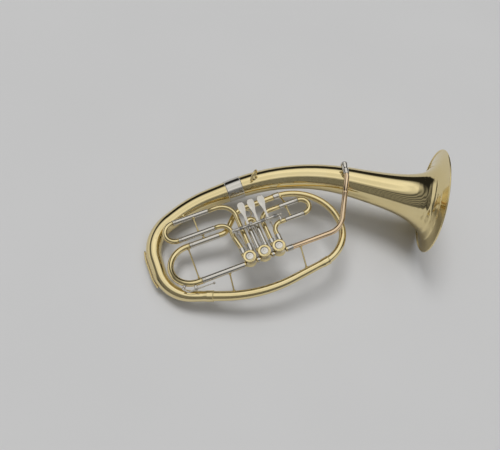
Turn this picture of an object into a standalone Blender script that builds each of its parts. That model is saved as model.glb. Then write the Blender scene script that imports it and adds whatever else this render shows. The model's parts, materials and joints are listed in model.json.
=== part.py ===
"""Alto horn in E flat, oval form, with three rotary valves. Metres, +Z up.

The horn is drawn in its own plane (X along the valves towards the bell, Y towards the
stem, Z along the valve axes) and an empty then lays it down on bell rim and bows.
"""
import math

import bmesh
import bpy
from mathutils import Matrix, Vector

# Bell and conical tubing
BELL_R = 0.110
BELL_FLARE = 0.0068
BELL_POWER = 0.38
BELL_WALL = 0.0007
RIM_BEAD_R = 0.0016
BELL_CENTRE = Vector((0.3816, -0.0042, -0.015))
BELL_AXIS = Vector((0.855, -0.507, -0.097)).normalized()
BELL_BEND_AT = 0.020
BELL_BEND_R = 0.280
STEM_CORNER = Vector((0.131, 0.1775, 0.012))
STEM_BEND_R = 0.400
BOW_CORNER = Vector((-0.100, 0.1755, 0.004))
BOW_CORNER_BEND_R = 0.250
BOW_LEFT = -0.2095
BOW_TOP_Y = 0.1377
BOW_TOP_BEND_R = 0.076
BOW_LOW_Y = -0.0028
BOW_LOW_BEND_R = 0.078
BOTTOM_CORNER = Vector((-0.036, -0.0722, 0.0))
BOTTOM_BEND_R = 0.285
LOOP_RIGHT = 0.175
LOOP_LOW_Y = -0.0445
LOOP_LOW_BEND_R = 0.077
LOOP_TOP_Y = 0.130
LOOP_TOP_BEND_R = 0.1015
BRANCH_TURN = Vector((-0.016, 0.125, 0.004))
STEM_END = 0.434
BOW_MID = 0.735
BOW_END = 0.848
BOTTOM_END = 1.093
LOOP_END = 1.361
BOW_MID_R = 0.0140
BOW_END_R = 0.0102
BOTTOM_END_R = 0.0078
LOOP_END_R = 0.0065
BRANCH_TIP_R = 0.0052
BOW_WALL = 0.0006

# Sides of round pieces
BELL_SIDES = 24
BOW_SIDES = 16
ROTOR_SIDES = 20
TUBE_SIDES = 10
SMALL_SIDES = 8
BEND_STEP = 18.0

# Fits
GAP = 0.0003
TUBE_WALL = 0.0006
FERRULE_WALL = 0.0008
JOINT_COVER = 0.006

# Valves
VALVE_PITCH = 0.031
VALVE_Z = 0.024
ROTOR_R = 0.0116
ROTOR_HALF = 0.009
PASSAGE_R = 0.0044
SPINDLE_R = 0.0022
CASING_WALL = 0.0015
CASING_FLOOR = 0.0026
CAP_H = 0.0024
CAP_LIP = 0.0003
TURN = math.radians(90)
PORT = ROTOR_R * math.sin(TURN / 2)
CRANK_R = 0.009
CRANK_PIN_R = 0.0012
STOP_ARM_H = 0.0028
VALVE_TUBE_R = 0.0051
LEG_R = 0.0054

# Slides
LEG_TUBE_R = LEG_R * math.cos(math.pi / TUBE_SIDES) - TUBE_WALL - 0.0001
LEG_COVER = 0.006
SLIDE_3_HIGH_Y = 0.137
SLIDE_3_LOW_Y = 0.093
SLIDE_3_START = -0.074
SLIDE_3_END = -0.150
SLIDE_1_HIGH_Y = 0.0885
SLIDE_1_LOW_Y = 0.0545
SLIDE_1_START = 0.068
SLIDE_1_END = 0.108
SLIDE_2_END = 0.069
SLIDE_2_BOW_Y = 0.0755
PULL_RING_R = 0.0087
PULL_RING_WIRE_R = 0.0008
TUNING_Y = 0.080
TUNING_Z = 0.012
TUNING_LEG_R = 0.0062
TUNING_BOW_R = 0.0064
TUNING_START = -0.070
TUNING_END = -0.133
TUNING_BOW_X = -0.141
VALVE_BEND_R = 0.0225

# Leadpipe
LEADPIPE_R = 0.0053
LEADPIPE_TURN_X = 0.163
LEADPIPE_END = Vector((0.2245, 0.1045, 0.0467))
LEADPIPE_OUT = Vector((0.24, 0.966, 0.07)).normalized()
LEADPIPE_TURN_R = 0.042
LEADPIPE_BEND_R = 0.012
RECEIVER_L = 0.0265
RECEIVER_COVER = 0.0098
RECEIVER_R = 0.0068
PIPE_RING_FROM_END = 0.054

# Levers
HINGE_Y = 0.063
HINGE_Z = 0.039
HINGE_ROD_R = 0.0016
HINGE_TUBE_R = 0.0030
LEVER_REACH = 0.052
LEVER_T = 0.0015
LEVER_TIP_R = 0.0073
LEVER_NECK_R = 0.0024
LINK_DROP = 0.0324
LINK_R = 0.0010
LINK_SIDE = 0.0028
PIN_R = 0.0011
ROD_LEFT = -0.0425
ROD_RIGHT = 0.0585
LEVER_SWING = 2 * math.asin(CRANK_R * math.sin(TURN / 2) / LINK_DROP)
SPRING_WIRE_R = 0.00045
SPRING_PITCH = 0.0014
CURL_STEPS = 8

# Water key
KEY_PIVOT = Vector((-0.150, -0.0203, VALVE_Z))
KEY_ANGLE = math.radians(34)
KEY_END_X = -0.114
KEY_BOSS_R = 0.0021
KEY_PIN_R = 0.0008
KEY_BORE_R = 0.0017
KEY_WIRE_R = 0.0003
NIPPLE_H = 0.0048

# Small parts
BRACE_R = 0.0016
BRACE_FOOT_R = 0.0036
RING_R = 0.0120
RING_TURN = math.radians(-42)
RING_OUT = Vector((0, -0.15, 0.98))
RING_WIRE_R = 0.0020
GUARD_OFF = 0.0010
GUARD_START = 0.665
GUARD_END = 0.745
STEM_FERRULE_L = 0.035
BRANCH_FERRULE_L = 0.014
RING_FROM_STEM_END = 0.046
BRACE_RIGHT_X = VALVE_PITCH + 0.042

BRASS = ((0.84, 0.70, 0.40), 0.20)
ROSE_BRASS = ((0.82, 0.65, 0.45), 0.22)
NICKEL = ((0.72, 0.69, 0.62), 0.24)
STEEL = ((0.55, 0.55, 0.56), 0.30)
CORK = ((0.45, 0.30, 0.17), 0.85)


def scene_start():
    """Empty scene with one collection for the horn and one for its cutters."""
    for old in list(bpy.data.objects):
        bpy.data.objects.remove(old, do_unlink=True)
    horn = bpy.data.collections.new("alto_horn")
    tools = bpy.data.collections.new("cutters")
    tools.hide_render = True
    bpy.context.scene.collection.children.link(horn)
    bpy.context.scene.collection.children.link(tools)
    frame = bpy.data.objects.new("horn_frame", None)
    horn.objects.link(frame)
    return horn, tools, frame


HORN, TOOLS, FRAME = scene_start()


def keep(obj, finish, origin=None):
    """Put a finished piece in the horn's collection with its own material."""
    for old in list(obj.users_collection):
        old.objects.unlink(obj)
    HORN.objects.link(obj)
    if origin is not None:
        obj.location = origin
    obj.parent = FRAME
    mat = bpy.data.materials.new(obj.name)
    mat.use_nodes = True
    bsdf = mat.node_tree.nodes["Principled BSDF"]
    colour, roughness = finish
    bsdf.inputs["Base Color"].default_value = (*colour, 1.0)
    bsdf.inputs["Roughness"].default_value = roughness
    bsdf.inputs["Metallic"].default_value = 0.0 if finish is CORK else 1.0
    obj.data.materials.clear()
    obj.data.materials.append(mat)
    return obj


def tool(obj, origin=None):
    """Put a helper shape in the hidden cutters collection."""
    for old in list(obj.users_collection):
        old.objects.unlink(obj)
    TOOLS.objects.link(obj)
    if origin is not None:
        obj.location = origin
    obj.parent = FRAME
    obj.hide_render = True
    obj.display_type = 'WIRE'
    return obj


def combine(obj, other, operation):
    """Add, or cut away, another closed shape."""
    step = obj.modifiers.new(other.name, 'BOOLEAN')
    step.operation = operation
    step.solver = 'EXACT'
    step.object = tool(other)
    return obj


def new_object(name, data):
    """Object for a mesh or curve, linked so that it can be evaluated."""
    obj = bpy.data.objects.new(name, data)
    bpy.context.scene.collection.objects.link(obj)
    return obj


def to_mesh(obj, weld=1e-6):
    """Mesh copy of a curve object, its caps welded, in place of the curve."""
    bpy.context.view_layer.update()
    mesh = bpy.data.meshes.new_from_object(obj)
    mesh.transform(obj.matrix_world)
    name = obj.name
    bpy.data.objects.remove(obj, do_unlink=True)
    work = bmesh.new()
    work.from_mesh(mesh)
    bmesh.ops.remove_doubles(work, verts=work.verts, dist=weld)
    bmesh.ops.recalc_face_normals(work, faces=work.faces)
    work.to_mesh(mesh)
    work.free()
    mesh.name = name
    return new_object(name, mesh)


def distances(points):
    """Distance of each point along the run."""
    total = [0.0]
    for a, b in zip(points, points[1:]):
        total.append(total[-1] + (b - a).length)
    return total


def point_at(points, distance):
    """Point at a distance along the run."""
    marks = distances(points)
    for a, b, low, high in zip(points, points[1:], marks, marks[1:]):
        if distance <= high:
            return a.lerp(b, (distance - low) / (high - low))
    return points[-1].copy()


def fillet(corners, radii, turn=BEND_STEP):
    """Straight runs between corners, each corner rounded to its radius."""
    corners = [Vector(c) for c in corners]
    points = [corners[0]]
    for a, b, c, radius in zip(corners, corners[1:], corners[2:], radii):
        back = (a - b).normalized()
        ahead = (c - b).normalized()
        half = (math.pi - back.angle(ahead)) / 2
        reach = radius * math.tan(half)
        centre = b + (back + ahead).normalized() * radius / math.cos(half)
        start = b + back * reach - centre
        axis = start.cross(b + ahead * reach - centre).normalized()
        steps = max(2, math.ceil(math.degrees(2 * half) / turn))
        for i in range(steps + 1):
            spot = centre + Matrix.Rotation(2 * half * i / steps, 3, axis) @ start
            if (spot - points[-1]).length > 1e-5:
                points.append(spot)
    if (corners[-1] - points[-1]).length > 1e-5:
        points.append(corners[-1])
    return points


def sized(points, stops):
    """Run of (point, radius): a point is added at each (distance, radius) stop."""
    marks = distances(points)
    spots = list(marks)
    for distance, _ in stops:
        if 0 < distance < marks[-1] and min(abs(distance - m) for m in spots) > 2e-4:
            spots.append(distance)
    run = []
    for spot in sorted(spots):
        run.append((point_at(points, spot), radius_at(stops, spot)))
    return run


def radius_at(stops, distance):
    """Radius between the stops, straight from one stop to the next."""
    for (low, first), (high, last) in zip(stops, stops[1:]):
        if distance <= high:
            return first + (last - first) * max(0.0, (distance - low) / (high - low))
    return stops[-1][1]


def cut_run(run, low, high):
    """The part of a run between two distances along it."""
    marks = distances([p for p, _ in run])
    piece = []
    for i in range(len(run) - 1):
        a, b = marks[i], marks[i + 1]
        for spot in (max(a, low), min(b, high)):
            if a <= spot <= b and low <= spot <= high:
                t = (spot - a) / (b - a)
                point = run[i][0].lerp(run[i + 1][0], t)
                if not piece or (point - piece[-1][0]).length > 1e-4:
                    piece.append((point, run[i][1] * (1 - t) + run[i + 1][1] * t))
    return piece


def sweep(name, run, sides, wall=0.0, origin=None):
    """Round tube along a run. With a wall it is open at its ends, else it is solid."""
    curve = bpy.data.curves.new(name, 'CURVE')
    curve.dimensions = '3D'
    curve.bevel_depth = 0.001
    curve.bevel_resolution = (sides - 4) // 2
    curve.use_fill_caps = wall == 0
    spline = curve.splines.new('POLY')
    spline.points.add(len(run) - 1)
    base = origin if origin is not None else Vector()
    for spot, (point, radius) in zip(spline.points, run):
        spot.co = (*(point - base), 1.0)
        spot.radius = radius / 0.001
    obj = new_object(name, curve)
    if wall == 0:
        return to_mesh(obj)
    obj = to_mesh(obj)
    mesh = obj.data
    first = mesh.polygons[0]
    axis_point = min((p - base for p, _ in run), key=lambda p: (p - first.center).length)
    if first.normal.dot(first.center - axis_point) < 0:
        mesh.flip_normals()
    shell = obj.modifiers.new("wall", 'SOLIDIFY')
    shell.thickness = wall
    shell.offset = -1.0
    shell.use_even_offset = True
    return obj


def cylinder(name, start, end, radius, sides=24, taper=None):
    """Primitive cylinder or cone between two points."""
    start, end = Vector(start), Vector(end)
    axis = end - start
    turn = Vector((0, 0, 1)).rotation_difference(axis).to_euler()
    if taper is None:
        bpy.ops.mesh.primitive_cylinder_add(vertices=sides, radius=radius, depth=axis.length,
                                            location=(start + end) / 2, rotation=turn)
    else:
        bpy.ops.mesh.primitive_cone_add(vertices=sides, radius1=radius, radius2=taper,
                                        depth=axis.length, location=(start + end) / 2,
                                        rotation=turn)
    obj = bpy.context.object
    obj.name = name
    return obj


def block(name, low, high):
    """Primitive box between two corners."""
    low, high = Vector(low), Vector(high)
    bpy.ops.mesh.primitive_cube_add(size=1, location=(low + high) / 2)
    obj = bpy.context.object
    obj.scale = high - low
    obj.name = name
    return obj


def turned(name, profile, sides, axis=None, closed=False):
    """Turned shape. The profile lists (radius, height) down the outer side."""
    mesh = bpy.data.meshes.new(name)
    edges = [(i, i + 1) for i in range(len(profile) - 1)]
    if closed:
        edges.append((len(profile) - 1, 0))
    mesh.from_pydata([(r, 0.0, z) for r, z in profile], edges, [])
    obj = new_object(name, mesh)
    screw = obj.modifiers.new("turn", 'SCREW')
    screw.steps = sides
    screw.render_steps = sides
    screw.use_merge_vertices = True
    screw.merge_threshold = 0.00001
    if axis is not None:
        obj.rotation_euler = Vector((0, 0, 1)).rotation_difference(axis).to_euler()
    return obj


def tangent(run, point):
    """Nearest place on a run: its centre, direction and radius."""
    best = None
    for (a, ra), (b, rb) in zip(run, run[1:]):
        line = b - a
        t = min(1.0, max(0.0, (point - a).dot(line) / line.length_squared))
        spot = a + line * t
        away = (point - spot).length
        if best is None or away < best[0]:
            best = (away, spot, line.normalized(), ra + (rb - ra) * t)
    return best[1:]


def bell_radius(s):
    """Outer radius of the bell at a distance behind the rim."""
    return BELL_R * (BELL_FLARE / (s + BELL_FLARE)) ** BELL_POWER


def oval_run():
    """The whole conical tube from the rim to the tuning slide, with its radii."""
    corners = [BELL_CENTRE, BELL_CENTRE - BELL_AXIS * BELL_BEND_AT, STEM_CORNER, BOW_CORNER,
               Vector((BOW_LEFT, BOW_TOP_Y, 0)), Vector((BOW_LEFT, BOW_LOW_Y, 0)),
               BOTTOM_CORNER,
               Vector((LOOP_RIGHT, LOOP_LOW_Y, 0)), Vector((LOOP_RIGHT, LOOP_TOP_Y, 0)),
               BRANCH_TURN, Vector((TUNING_START + 0.016, TUNING_Y, TUNING_Z)),
               Vector((TUNING_START - 0.008, TUNING_Y, TUNING_Z))]
    bends = [BELL_BEND_R, STEM_BEND_R, BOW_CORNER_BEND_R, BOW_TOP_BEND_R, BOW_LOW_BEND_R, BOTTOM_BEND_R,
             LOOP_LOW_BEND_R, LOOP_TOP_BEND_R, 0.040, 0.020]
    points = fillet(corners, bends)
    total = distances(points)[-1]
    flare = [0.0, 0.0009, 0.0025, 0.0055, 0.011, 0.020, 0.035, 0.060, 0.105, 0.180, 0.280,
             STEM_END]
    stops = [(s, bell_radius(s)) for s in flare]
    stops += [(BOW_MID, BOW_MID_R), (BOW_END, BOW_END_R), (BOTTOM_END, BOTTOM_END_R),
              (LOOP_END, LOOP_END_R), (total - 0.0084, BRANCH_TIP_R + 0.0006),
              (total - 0.0078, BRANCH_TIP_R), (total, BRANCH_TIP_R)]
    return sized(points, stops)


OVAL = oval_run()
OVAL_LENGTH = distances([p for p, _ in OVAL])[-1]


def bell():
    """Bell and stem: one hollow horn, with a wire rolled into its rim."""
    obj = sweep("bell", cut_run(OVAL, 0, STEM_END - GAP / 2), BELL_SIDES, BELL_WALL)
    turn = Vector((0, 0, 1)).rotation_difference(-BELL_AXIS).to_euler()
    bpy.ops.mesh.primitive_torus_add(
        major_segments=BELL_SIDES, minor_segments=6, major_radius=BELL_R - RIM_BEAD_R * 0.4,
        minor_radius=RIM_BEAD_R, location=BELL_CENTRE - BELL_AXIS * 0.0002, rotation=turn)
    bead = bpy.context.object
    bead.name = "rim_bead"
    combine(obj, bead, 'UNION')
    return keep(obj, BRASS)


def bows():
    """Main bow, bottom branch, right-hand loop and upper branch."""
    cuts = [("main_bow", STEM_END, BOW_END, BOW_SIDES, True),
            ("bottom_branch", BOW_END, BOTTOM_END, TUBE_SIDES + 2, True),
            ("right_loop", BOTTOM_END, LOOP_END, TUBE_SIDES + 2, False),
            ("upper_branch", LOOP_END, OVAL_LENGTH, TUBE_SIDES + 2, False)]
    for name, low, high, sides, socket in cuts:
        end = high + JOINT_COVER if socket else high
        if high != OVAL_LENGTH:
            end -= GAP / 2
        piece = cut_run(OVAL, low + GAP / 2, end)
        if socket:
            piece = with_socket(piece, 2 * JOINT_COVER)
        keep(sweep(name, piece, sides, BOW_WALL), BRASS)


def with_socket(run, length):
    """Widen the last stretch of a run so that it slips over the next tube."""
    marks = distances([p for p, _ in run])
    start = marks[-1] - length
    wide = 2 * GAP + BOW_WALL
    plain = cut_run(run, 0, start)
    over = cut_run(run, start + 0.0008, marks[-1])
    return plain + [(p, r + wide) for p, r in over]


def sleeve(name, run, centre, length, sides, finish):
    """Ferrule that covers a joint in a run."""
    piece = cut_run(run, centre - length / 2, centre + length / 2)
    ring = [(p, r + GAP + FERRULE_WALL) for p, r in piece]
    return keep(sweep(name, ring, sides, FERRULE_WALL), finish)


def ferrules():
    """Wide ferrule on the stem and the narrow one on the upper branch."""
    sleeve("stem_ferrule", OVAL, STEM_END, STEM_FERRULE_L, BELL_SIDES, NICKEL)
    sleeve("branch_ferrule", OVAL, LOOP_END, BRANCH_FERRULE_L, TUBE_SIDES + 4, NICKEL)


def bow_guard():
    """Round guard strip that runs outside the main bow."""
    run = []
    for point, radius in cut_run(OVAL, GUARD_START, GUARD_END):
        _, along, _ = tangent(OVAL, point)
        out = along.cross(Vector((0, 0, 1))).normalized()
        if out.x > 0:
            out = -out
        run.append((point + out * (radius + GUARD_OFF + 0.0018), 0.0018))
    keep(sweep("bow_guard", run, 8), BRASS)


def valve_x(number):
    """Valve 1 stands next to the leadpipe, valve 3 next to the tuning slide."""
    return VALVE_PITCH * (2 - number)


CASING_R = ROTOR_R + GAP + CASING_WALL
CASING_LOW = VALVE_Z - ROTOR_HALF - GAP - CASING_FLOOR
CASING_HIGH = VALVE_Z + ROTOR_HALF + 0.0015
STUB_R = VALVE_TUBE_R + 0.0001
STUB_END = VALVE_PITCH / 2 - GAP / 2


def valve_casing(number):
    """Casing: cylinder with four stubs, bored for the rotor and its passages."""
    x = valve_x(number)
    name = f"valve_casing_{number}"
    obj = cylinder(name, (x, 0, CASING_LOW), (x, 0, CASING_HIGH), CASING_R, ROTOR_SIDES)
    main = cylinder(name + "_main", (x - STUB_END, -PORT, VALVE_Z),
                    (x + STUB_END, -PORT, VALVE_Z), STUB_R, TUBE_SIDES)
    combine(obj, main, 'UNION')
    for side in (-1, 1):
        stub = cylinder(f"{name}_stub_{side + 1}", (x + side * PORT, 0, VALVE_Z),
                        (x + side * PORT, STUB_END, VALVE_Z), STUB_R, TUBE_SIDES)
        combine(obj, stub, 'UNION')
    bore = cylinder(name + "_bore", (x, 0, VALVE_Z - ROTOR_HALF - GAP),
                    (x, 0, CASING_HIGH + 0.002), ROTOR_R + GAP, ROTOR_SIDES)
    combine(obj, bore, 'DIFFERENCE')
    hole = cylinder(name + "_hole", (x, 0, CASING_LOW - 0.002), (x, 0, VALVE_Z),
                    SPINDLE_R + GAP, SMALL_SIDES + 4)
    combine(obj, hole, 'DIFFERENCE')
    port = cylinder(name + "_port", (x - STUB_END - 0.002, -PORT, VALVE_Z),
                    (x + STUB_END + 0.002, -PORT, VALVE_Z), PASSAGE_R, TUBE_SIDES)
    combine(obj, port, 'DIFFERENCE')
    for side in (-1, 1):
        port = cylinder(f"{name}_port_{side + 1}", (x + side * PORT, 0.003, VALVE_Z),
                        (x + side * PORT, STUB_END + 0.002, VALVE_Z), PASSAGE_R,
                        TUBE_SIDES)
        combine(obj, port, 'DIFFERENCE')
    keep(obj, BRASS)


def rotor(number):
    """Rotor with its two passages, spindles, stop arm and crank pin in one piece."""
    x = valve_x(number)
    origin = Vector((x, 0, VALVE_Z))
    name = f"rotor_{number}"
    obj = cylinder(name, (0, 0, -ROTOR_HALF), (0, 0, ROTOR_HALF), ROTOR_R, ROTOR_SIDES)
    bpy.context.view_layer.update()
    low = CASING_LOW - VALVE_Z - 0.0006
    pieces = []
    pieces.append(cylinder(name + "_spindle", (x, 0, VALVE_Z + low - STOP_ARM_H),
                           (x, 0, CASING_HIGH + GAP + 0.0011), SPINDLE_R, SMALL_SIDES))
    pieces.append(cylinder(name + "_hub", (x, 0, VALVE_Z + low - STOP_ARM_H + 0.0002),
                           (x, 0, VALVE_Z + low), 0.0046, SMALL_SIDES + 4))
    out = Vector((math.cos(TURN / 2), math.sin(TURN / 2), 0))
    arm_z = VALVE_Z + low - STOP_ARM_H + 0.0002
    pieces.append(stop_arm(name + "_arm", Vector((x, 0, arm_z)), out))
    pin = Vector((x, 0, 0)) + out * CRANK_R
    pieces.append(cylinder(name + "_pin", (pin.x, pin.y, arm_z - LINK_DEPTH),
                           (pin.x, pin.y, arm_z + 0.001), CRANK_PIN_R, SMALL_SIDES))
    for side in (-1, 1):
        cut = cylinder(f"{name}_passage_{side + 1}", (x - 0.02, side * PORT, VALVE_Z),
                       (x + 0.02, side * PORT, VALVE_Z), PASSAGE_R, TUBE_SIDES)
        combine(obj, cut, 'DIFFERENCE')
    for piece in pieces:
        combine(obj, piece, 'UNION')
    keep(obj, NICKEL, origin)


def flat_plate(name, outline, thickness):
    """Closed flat shape with its outline in XY, its lower face at zero."""
    curve = bpy.data.curves.new(name, 'CURVE')
    curve.dimensions = '2D'
    curve.fill_mode = 'BOTH'
    curve.extrude = thickness / 2
    spline = curve.splines.new('POLY')
    spline.points.add(len(outline) - 1)
    spline.use_cyclic_u = True
    for spot, (px, py) in zip(spline.points, outline):
        spot.co = (px, py, 0.0, 1.0)
    obj = new_object(name, curve)
    obj.location.z = thickness / 2
    return to_mesh(obj)


def arc(centre, radius, start, end, steps):
    """Points of an arc in the XY plane, angles in degrees."""
    points = []
    for i in range(steps + 1):
        a = math.radians(start + (end - start) * i / steps)
        points.append((centre[0] + radius * math.cos(a), centre[1] + radius * math.sin(a)))
    return points


def stop_arm(name, foot, out):
    """Flat arm from the spindle to the crank pin."""
    outline = arc((0, 0), 0.0034, 90, 270, 4) + arc((CRANK_R, 0), 0.0022, -90, 90, 5)
    obj = flat_plate(name, outline, STOP_ARM_H - 0.0004)
    turn = Matrix.Rotation(math.atan2(out.y, out.x), 4, 'Z')
    obj.data.transform(Matrix.Translation(foot) @ turn)
    return obj


LINK_Z = HINGE_Z - LINK_DROP * math.cos(LEVER_SWING / 2)
ARM_Z = CASING_LOW - 0.0006 - STOP_ARM_H + 0.0002
LINK_EYE_H = 0.0018
LINK_DEPTH = ARM_Z - LINK_Z + LINK_EYE_H / 2 + 0.0006


def valve_cap(number):
    """Screw cap with the upper spindle bearing in its underside."""
    x = valve_x(number)
    low = CASING_HIGH + CAP_LIP
    name = f"valve_cap_{number}"
    edge = CASING_R + 0.0002
    profile = [(0, CAP_H + 0.0008), (0.0028, CAP_H + 0.0008), (0.0034, CAP_H),
               (edge - 0.0014, CAP_H), (edge, CAP_H - 0.001), (edge, 0), (SPINDLE_R + GAP, 0),
               (SPINDLE_R + GAP, 0.0014), (0, 0.0014)]
    obj = turned(name, profile, ROTOR_SIDES)
    keep(obj, BRASS, Vector((x, 0, low)))


def connecting_tubes():
    """Short tubes that cover the main-line stubs between neighbouring valves."""
    for number in (1, 2):
        middle = (valve_x(number) + valve_x(number + 1)) / 2
        half = VALVE_PITCH / 2 - math.sqrt(CASING_R ** 2 - 0.0032 ** 2) - GAP
        half = max(half, 0.0015)
        run = [(Vector((middle - half, -PORT, VALVE_Z)), STUB_R + GAP + TUBE_WALL),
               (Vector((middle + half, -PORT, VALVE_Z)), STUB_R + GAP + TUBE_WALL)]
        keep(sweep(f"connecting_tube_{number}", run, TUBE_SIDES + 2, TUBE_WALL), NICKEL)


SOCKET_R = STUB_R + GAP + TUBE_WALL
SOCKET_START = CASING_R + 0.0010


def valve_tube(name, corners, bends):
    """Tube from a valve stub, socket end first, that ends inside a slide leg."""
    leg_joint = LEG_COVER + GAP
    points = fillet(corners, bends, 1.25 * BEND_STEP)
    total = distances(points)[-1]
    cover = STUB_END - SOCKET_START
    stops = [(0, SOCKET_R), (cover + 0.004, SOCKET_R), (cover + 0.0048, VALVE_TUBE_R),
             (total - leg_joint - 0.0008, VALVE_TUBE_R), (total - leg_joint, LEG_TUBE_R),
             (total, LEG_TUBE_R)]
    return keep(sweep(name, sized(points, stops), TUBE_SIDES, TUBE_WALL), BRASS)


def valve_tubes():
    """The four brass tubes that lead to the first and third slides."""
    x3, x1 = valve_x(3), valve_x(1)
    z, start = VALVE_Z, SOCKET_START
    lean = x3 - PORT - 0.005
    valve_tube("slide_3_tube_high",
               [(x3 + PORT, start, z), (x3 + PORT, SLIDE_3_HIGH_Y, z),
                (SLIDE_3_START - LEG_COVER, SLIDE_3_HIGH_Y, z)], [0.034])
    valve_tube("slide_3_tube_low",
               [(x3 - PORT, start, z), (x3 - PORT, start + 0.016, z), (lean, start + 0.042, z),
                (lean, SLIDE_3_LOW_Y, z), (SLIDE_3_START - LEG_COVER, SLIDE_3_LOW_Y, z)],
               [0.030, 0.030, VALVE_BEND_R])
    valve_tube("slide_1_tube_high",
               [(x1 - PORT, start, z), (x1 - PORT, SLIDE_1_HIGH_Y, z),
                (SLIDE_1_START + LEG_COVER, SLIDE_1_HIGH_Y, z)], [0.024])
    valve_tube("slide_1_tube_low",
               [(x1 + PORT, start, z), (x1 + PORT, SLIDE_1_LOW_Y, z),
                (SLIDE_1_START + LEG_COVER, SLIDE_1_LOW_Y, z)], [0.018])


def straight_leg(name, start, end, radius, socket=0.0, sides=TUBE_SIDES):
    """Outer slide leg in nickel silver with a bead at its open end."""
    start, end = Vector(start), Vector(end)
    length = (end - start).length
    stops = [(0, radius), (length - 0.0032, radius), (length - 0.0026, radius + 0.0007),
             (length, radius + 0.0007)]
    if socket:
        stops = [(0, SOCKET_R), (socket, SOCKET_R), (socket + 0.0008, radius)] + stops[1:]
    return keep(sweep(name, sized([start, end], stops), sides, TUBE_WALL), NICKEL)


def slide_legs():
    """Outer legs of the four slides."""
    z = VALVE_Z
    for name, y in (("slide_3_leg_high", SLIDE_3_HIGH_Y), ("slide_3_leg_low", SLIDE_3_LOW_Y)):
        straight_leg(name, (SLIDE_3_START, y, z), (SLIDE_3_END, y, z), LEG_R)
    for name, y in (("slide_1_leg_high", SLIDE_1_HIGH_Y), ("slide_1_leg_low", SLIDE_1_LOW_Y)):
        straight_leg(name, (SLIDE_1_START, y, z), (SLIDE_1_END, y, z), LEG_R)
    for name, side in (("slide_2_leg_left", -1), ("slide_2_leg_right", 1)):
        straight_leg(name, (side * PORT, SOCKET_START, z), (side * PORT, SLIDE_2_END, z),
                     LEG_R, STUB_END - SOCKET_START + 0.004)
    straight_leg("tuning_leg_low", (valve_x(3) - SOCKET_START, -PORT, z),
                 (TUNING_END, -PORT, z), TUNING_LEG_R, 0.0, TUBE_SIDES + 2)
    straight_leg("tuning_leg_high", (TUNING_START, TUNING_Y, TUNING_Z),
                 (TUNING_END, TUNING_Y, TUNING_Z), TUNING_LEG_R, 0.0, TUBE_SIDES + 2)


def slide_bow(name, corners, bends, insert, thin, thick, sides=TUBE_SIDES,
              turn=1.25 * BEND_STEP):
    """Bow that pulls out: thin ends run inside the legs, the rest has the leg's size."""
    points = fillet(corners, bends, turn)
    total = distances(points)[-1]
    stops = [(0, thin), (insert, thin), (insert + 0.0007, thick),
             (total - insert - 0.0007, thick), (total - insert, thin), (total, thin)]
    origin = Vector(corners[0])
    obj = sweep(name, sized(points, stops), sides, TUBE_WALL, origin)
    return keep(obj, BRASS, origin)


SLIDE_1_INSERT = 0.033
SLIDE_2_INSERT = 0.045
SLIDE_3_INSERT = 0.062
TUNING_INSERT = 0.048
TUNING_THIN_R = TUNING_LEG_R - TUBE_WALL - GAP
SMALL_BOW_R = LEG_R - 0.0002
PULL_RING_SUNK = 0.0005
PULL_RING_Y = SLIDE_2_BOW_Y + PORT + SMALL_BOW_R + PULL_RING_R + PULL_RING_WIRE_R - PULL_RING_SUNK


def u_corners(start_a, start_b, out, depth):
    """Corners of a U that leaves two points along one direction."""
    a, b = Vector(start_a), Vector(start_b)
    return [a, a + out * depth, b + out * depth, b]


def pull_ring(bow):
    """Wire ring soldered on top of the second slide's bow, for pulling it out."""
    bpy.ops.mesh.primitive_torus_add(major_segments=20, minor_segments=6, major_radius=PULL_RING_R,
                                     minor_radius=PULL_RING_WIRE_R,
                                     location=(0, PULL_RING_Y, VALVE_Z))
    ring = bpy.context.object
    ring.name = "pull_ring"
    combine(bow, ring, 'UNION')


def slide_bows():
    """The four bows that the player pulls."""
    z = VALVE_Z
    thin = LEG_R - TUBE_WALL - GAP
    left, right, up = Vector((-1, 0, 0)), Vector((1, 0, 0)), Vector((0, 1, 0))
    half = (SLIDE_3_HIGH_Y - SLIDE_3_LOW_Y) / 2 - 0.0001
    x = SLIDE_3_END + SLIDE_3_INSERT - GAP
    slide_bow("slide_3_bow", u_corners((x, SLIDE_3_HIGH_Y, z), (x, SLIDE_3_LOW_Y, z), left,
              SLIDE_3_INSERT + 0.001 + half), [half, half], SLIDE_3_INSERT, thin, LEG_R)
    half = (SLIDE_1_HIGH_Y - SLIDE_1_LOW_Y) / 2 - 0.0001
    x = SLIDE_1_END - SLIDE_1_INSERT + GAP
    slide_bow("slide_1_bow", u_corners((x, SLIDE_1_HIGH_Y, z), (x, SLIDE_1_LOW_Y, z), right,
              SLIDE_1_INSERT + 0.001 + half), [half, half], SLIDE_1_INSERT, thin, LEG_R)
    y = SLIDE_2_END - SLIDE_2_INSERT + GAP
    bow = slide_bow("slide_2_bow", u_corners((-PORT, y, z), (PORT, y, z), up,
                    SLIDE_2_BOW_Y + PORT - y), [PORT - 0.0001] * 2, SLIDE_2_INSERT, thin, SMALL_BOW_R)
    pull_ring(bow)
    low, high = Vector((0, -PORT, z)), Vector((0, TUNING_Y, TUNING_Z))
    half = (high - low).length / 2 - 0.0001
    x = Vector((TUNING_END + TUNING_INSERT - GAP, 0, 0))
    reach = abs(TUNING_BOW_X - x.x) + half
    slide_bow("tuning_bow", u_corners(high + x, low + x, left, reach), [half, half],
              TUNING_INSERT, TUNING_THIN_R, TUNING_BOW_R, TUBE_SIDES + 2, BEND_STEP)


def leadpipe_corners():
    """Corners of the leadpipe from the first valve to the receiver."""
    top = LEADPIPE_END - LEADPIPE_OUT * (RECEIVER_COVER + LEADPIPE_BEND_R * 0.5)
    return [Vector((valve_x(1) + SOCKET_START, -PORT, VALVE_Z)),
            Vector((LEADPIPE_TURN_X, -PORT, VALVE_Z)), top, LEADPIPE_END]


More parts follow.
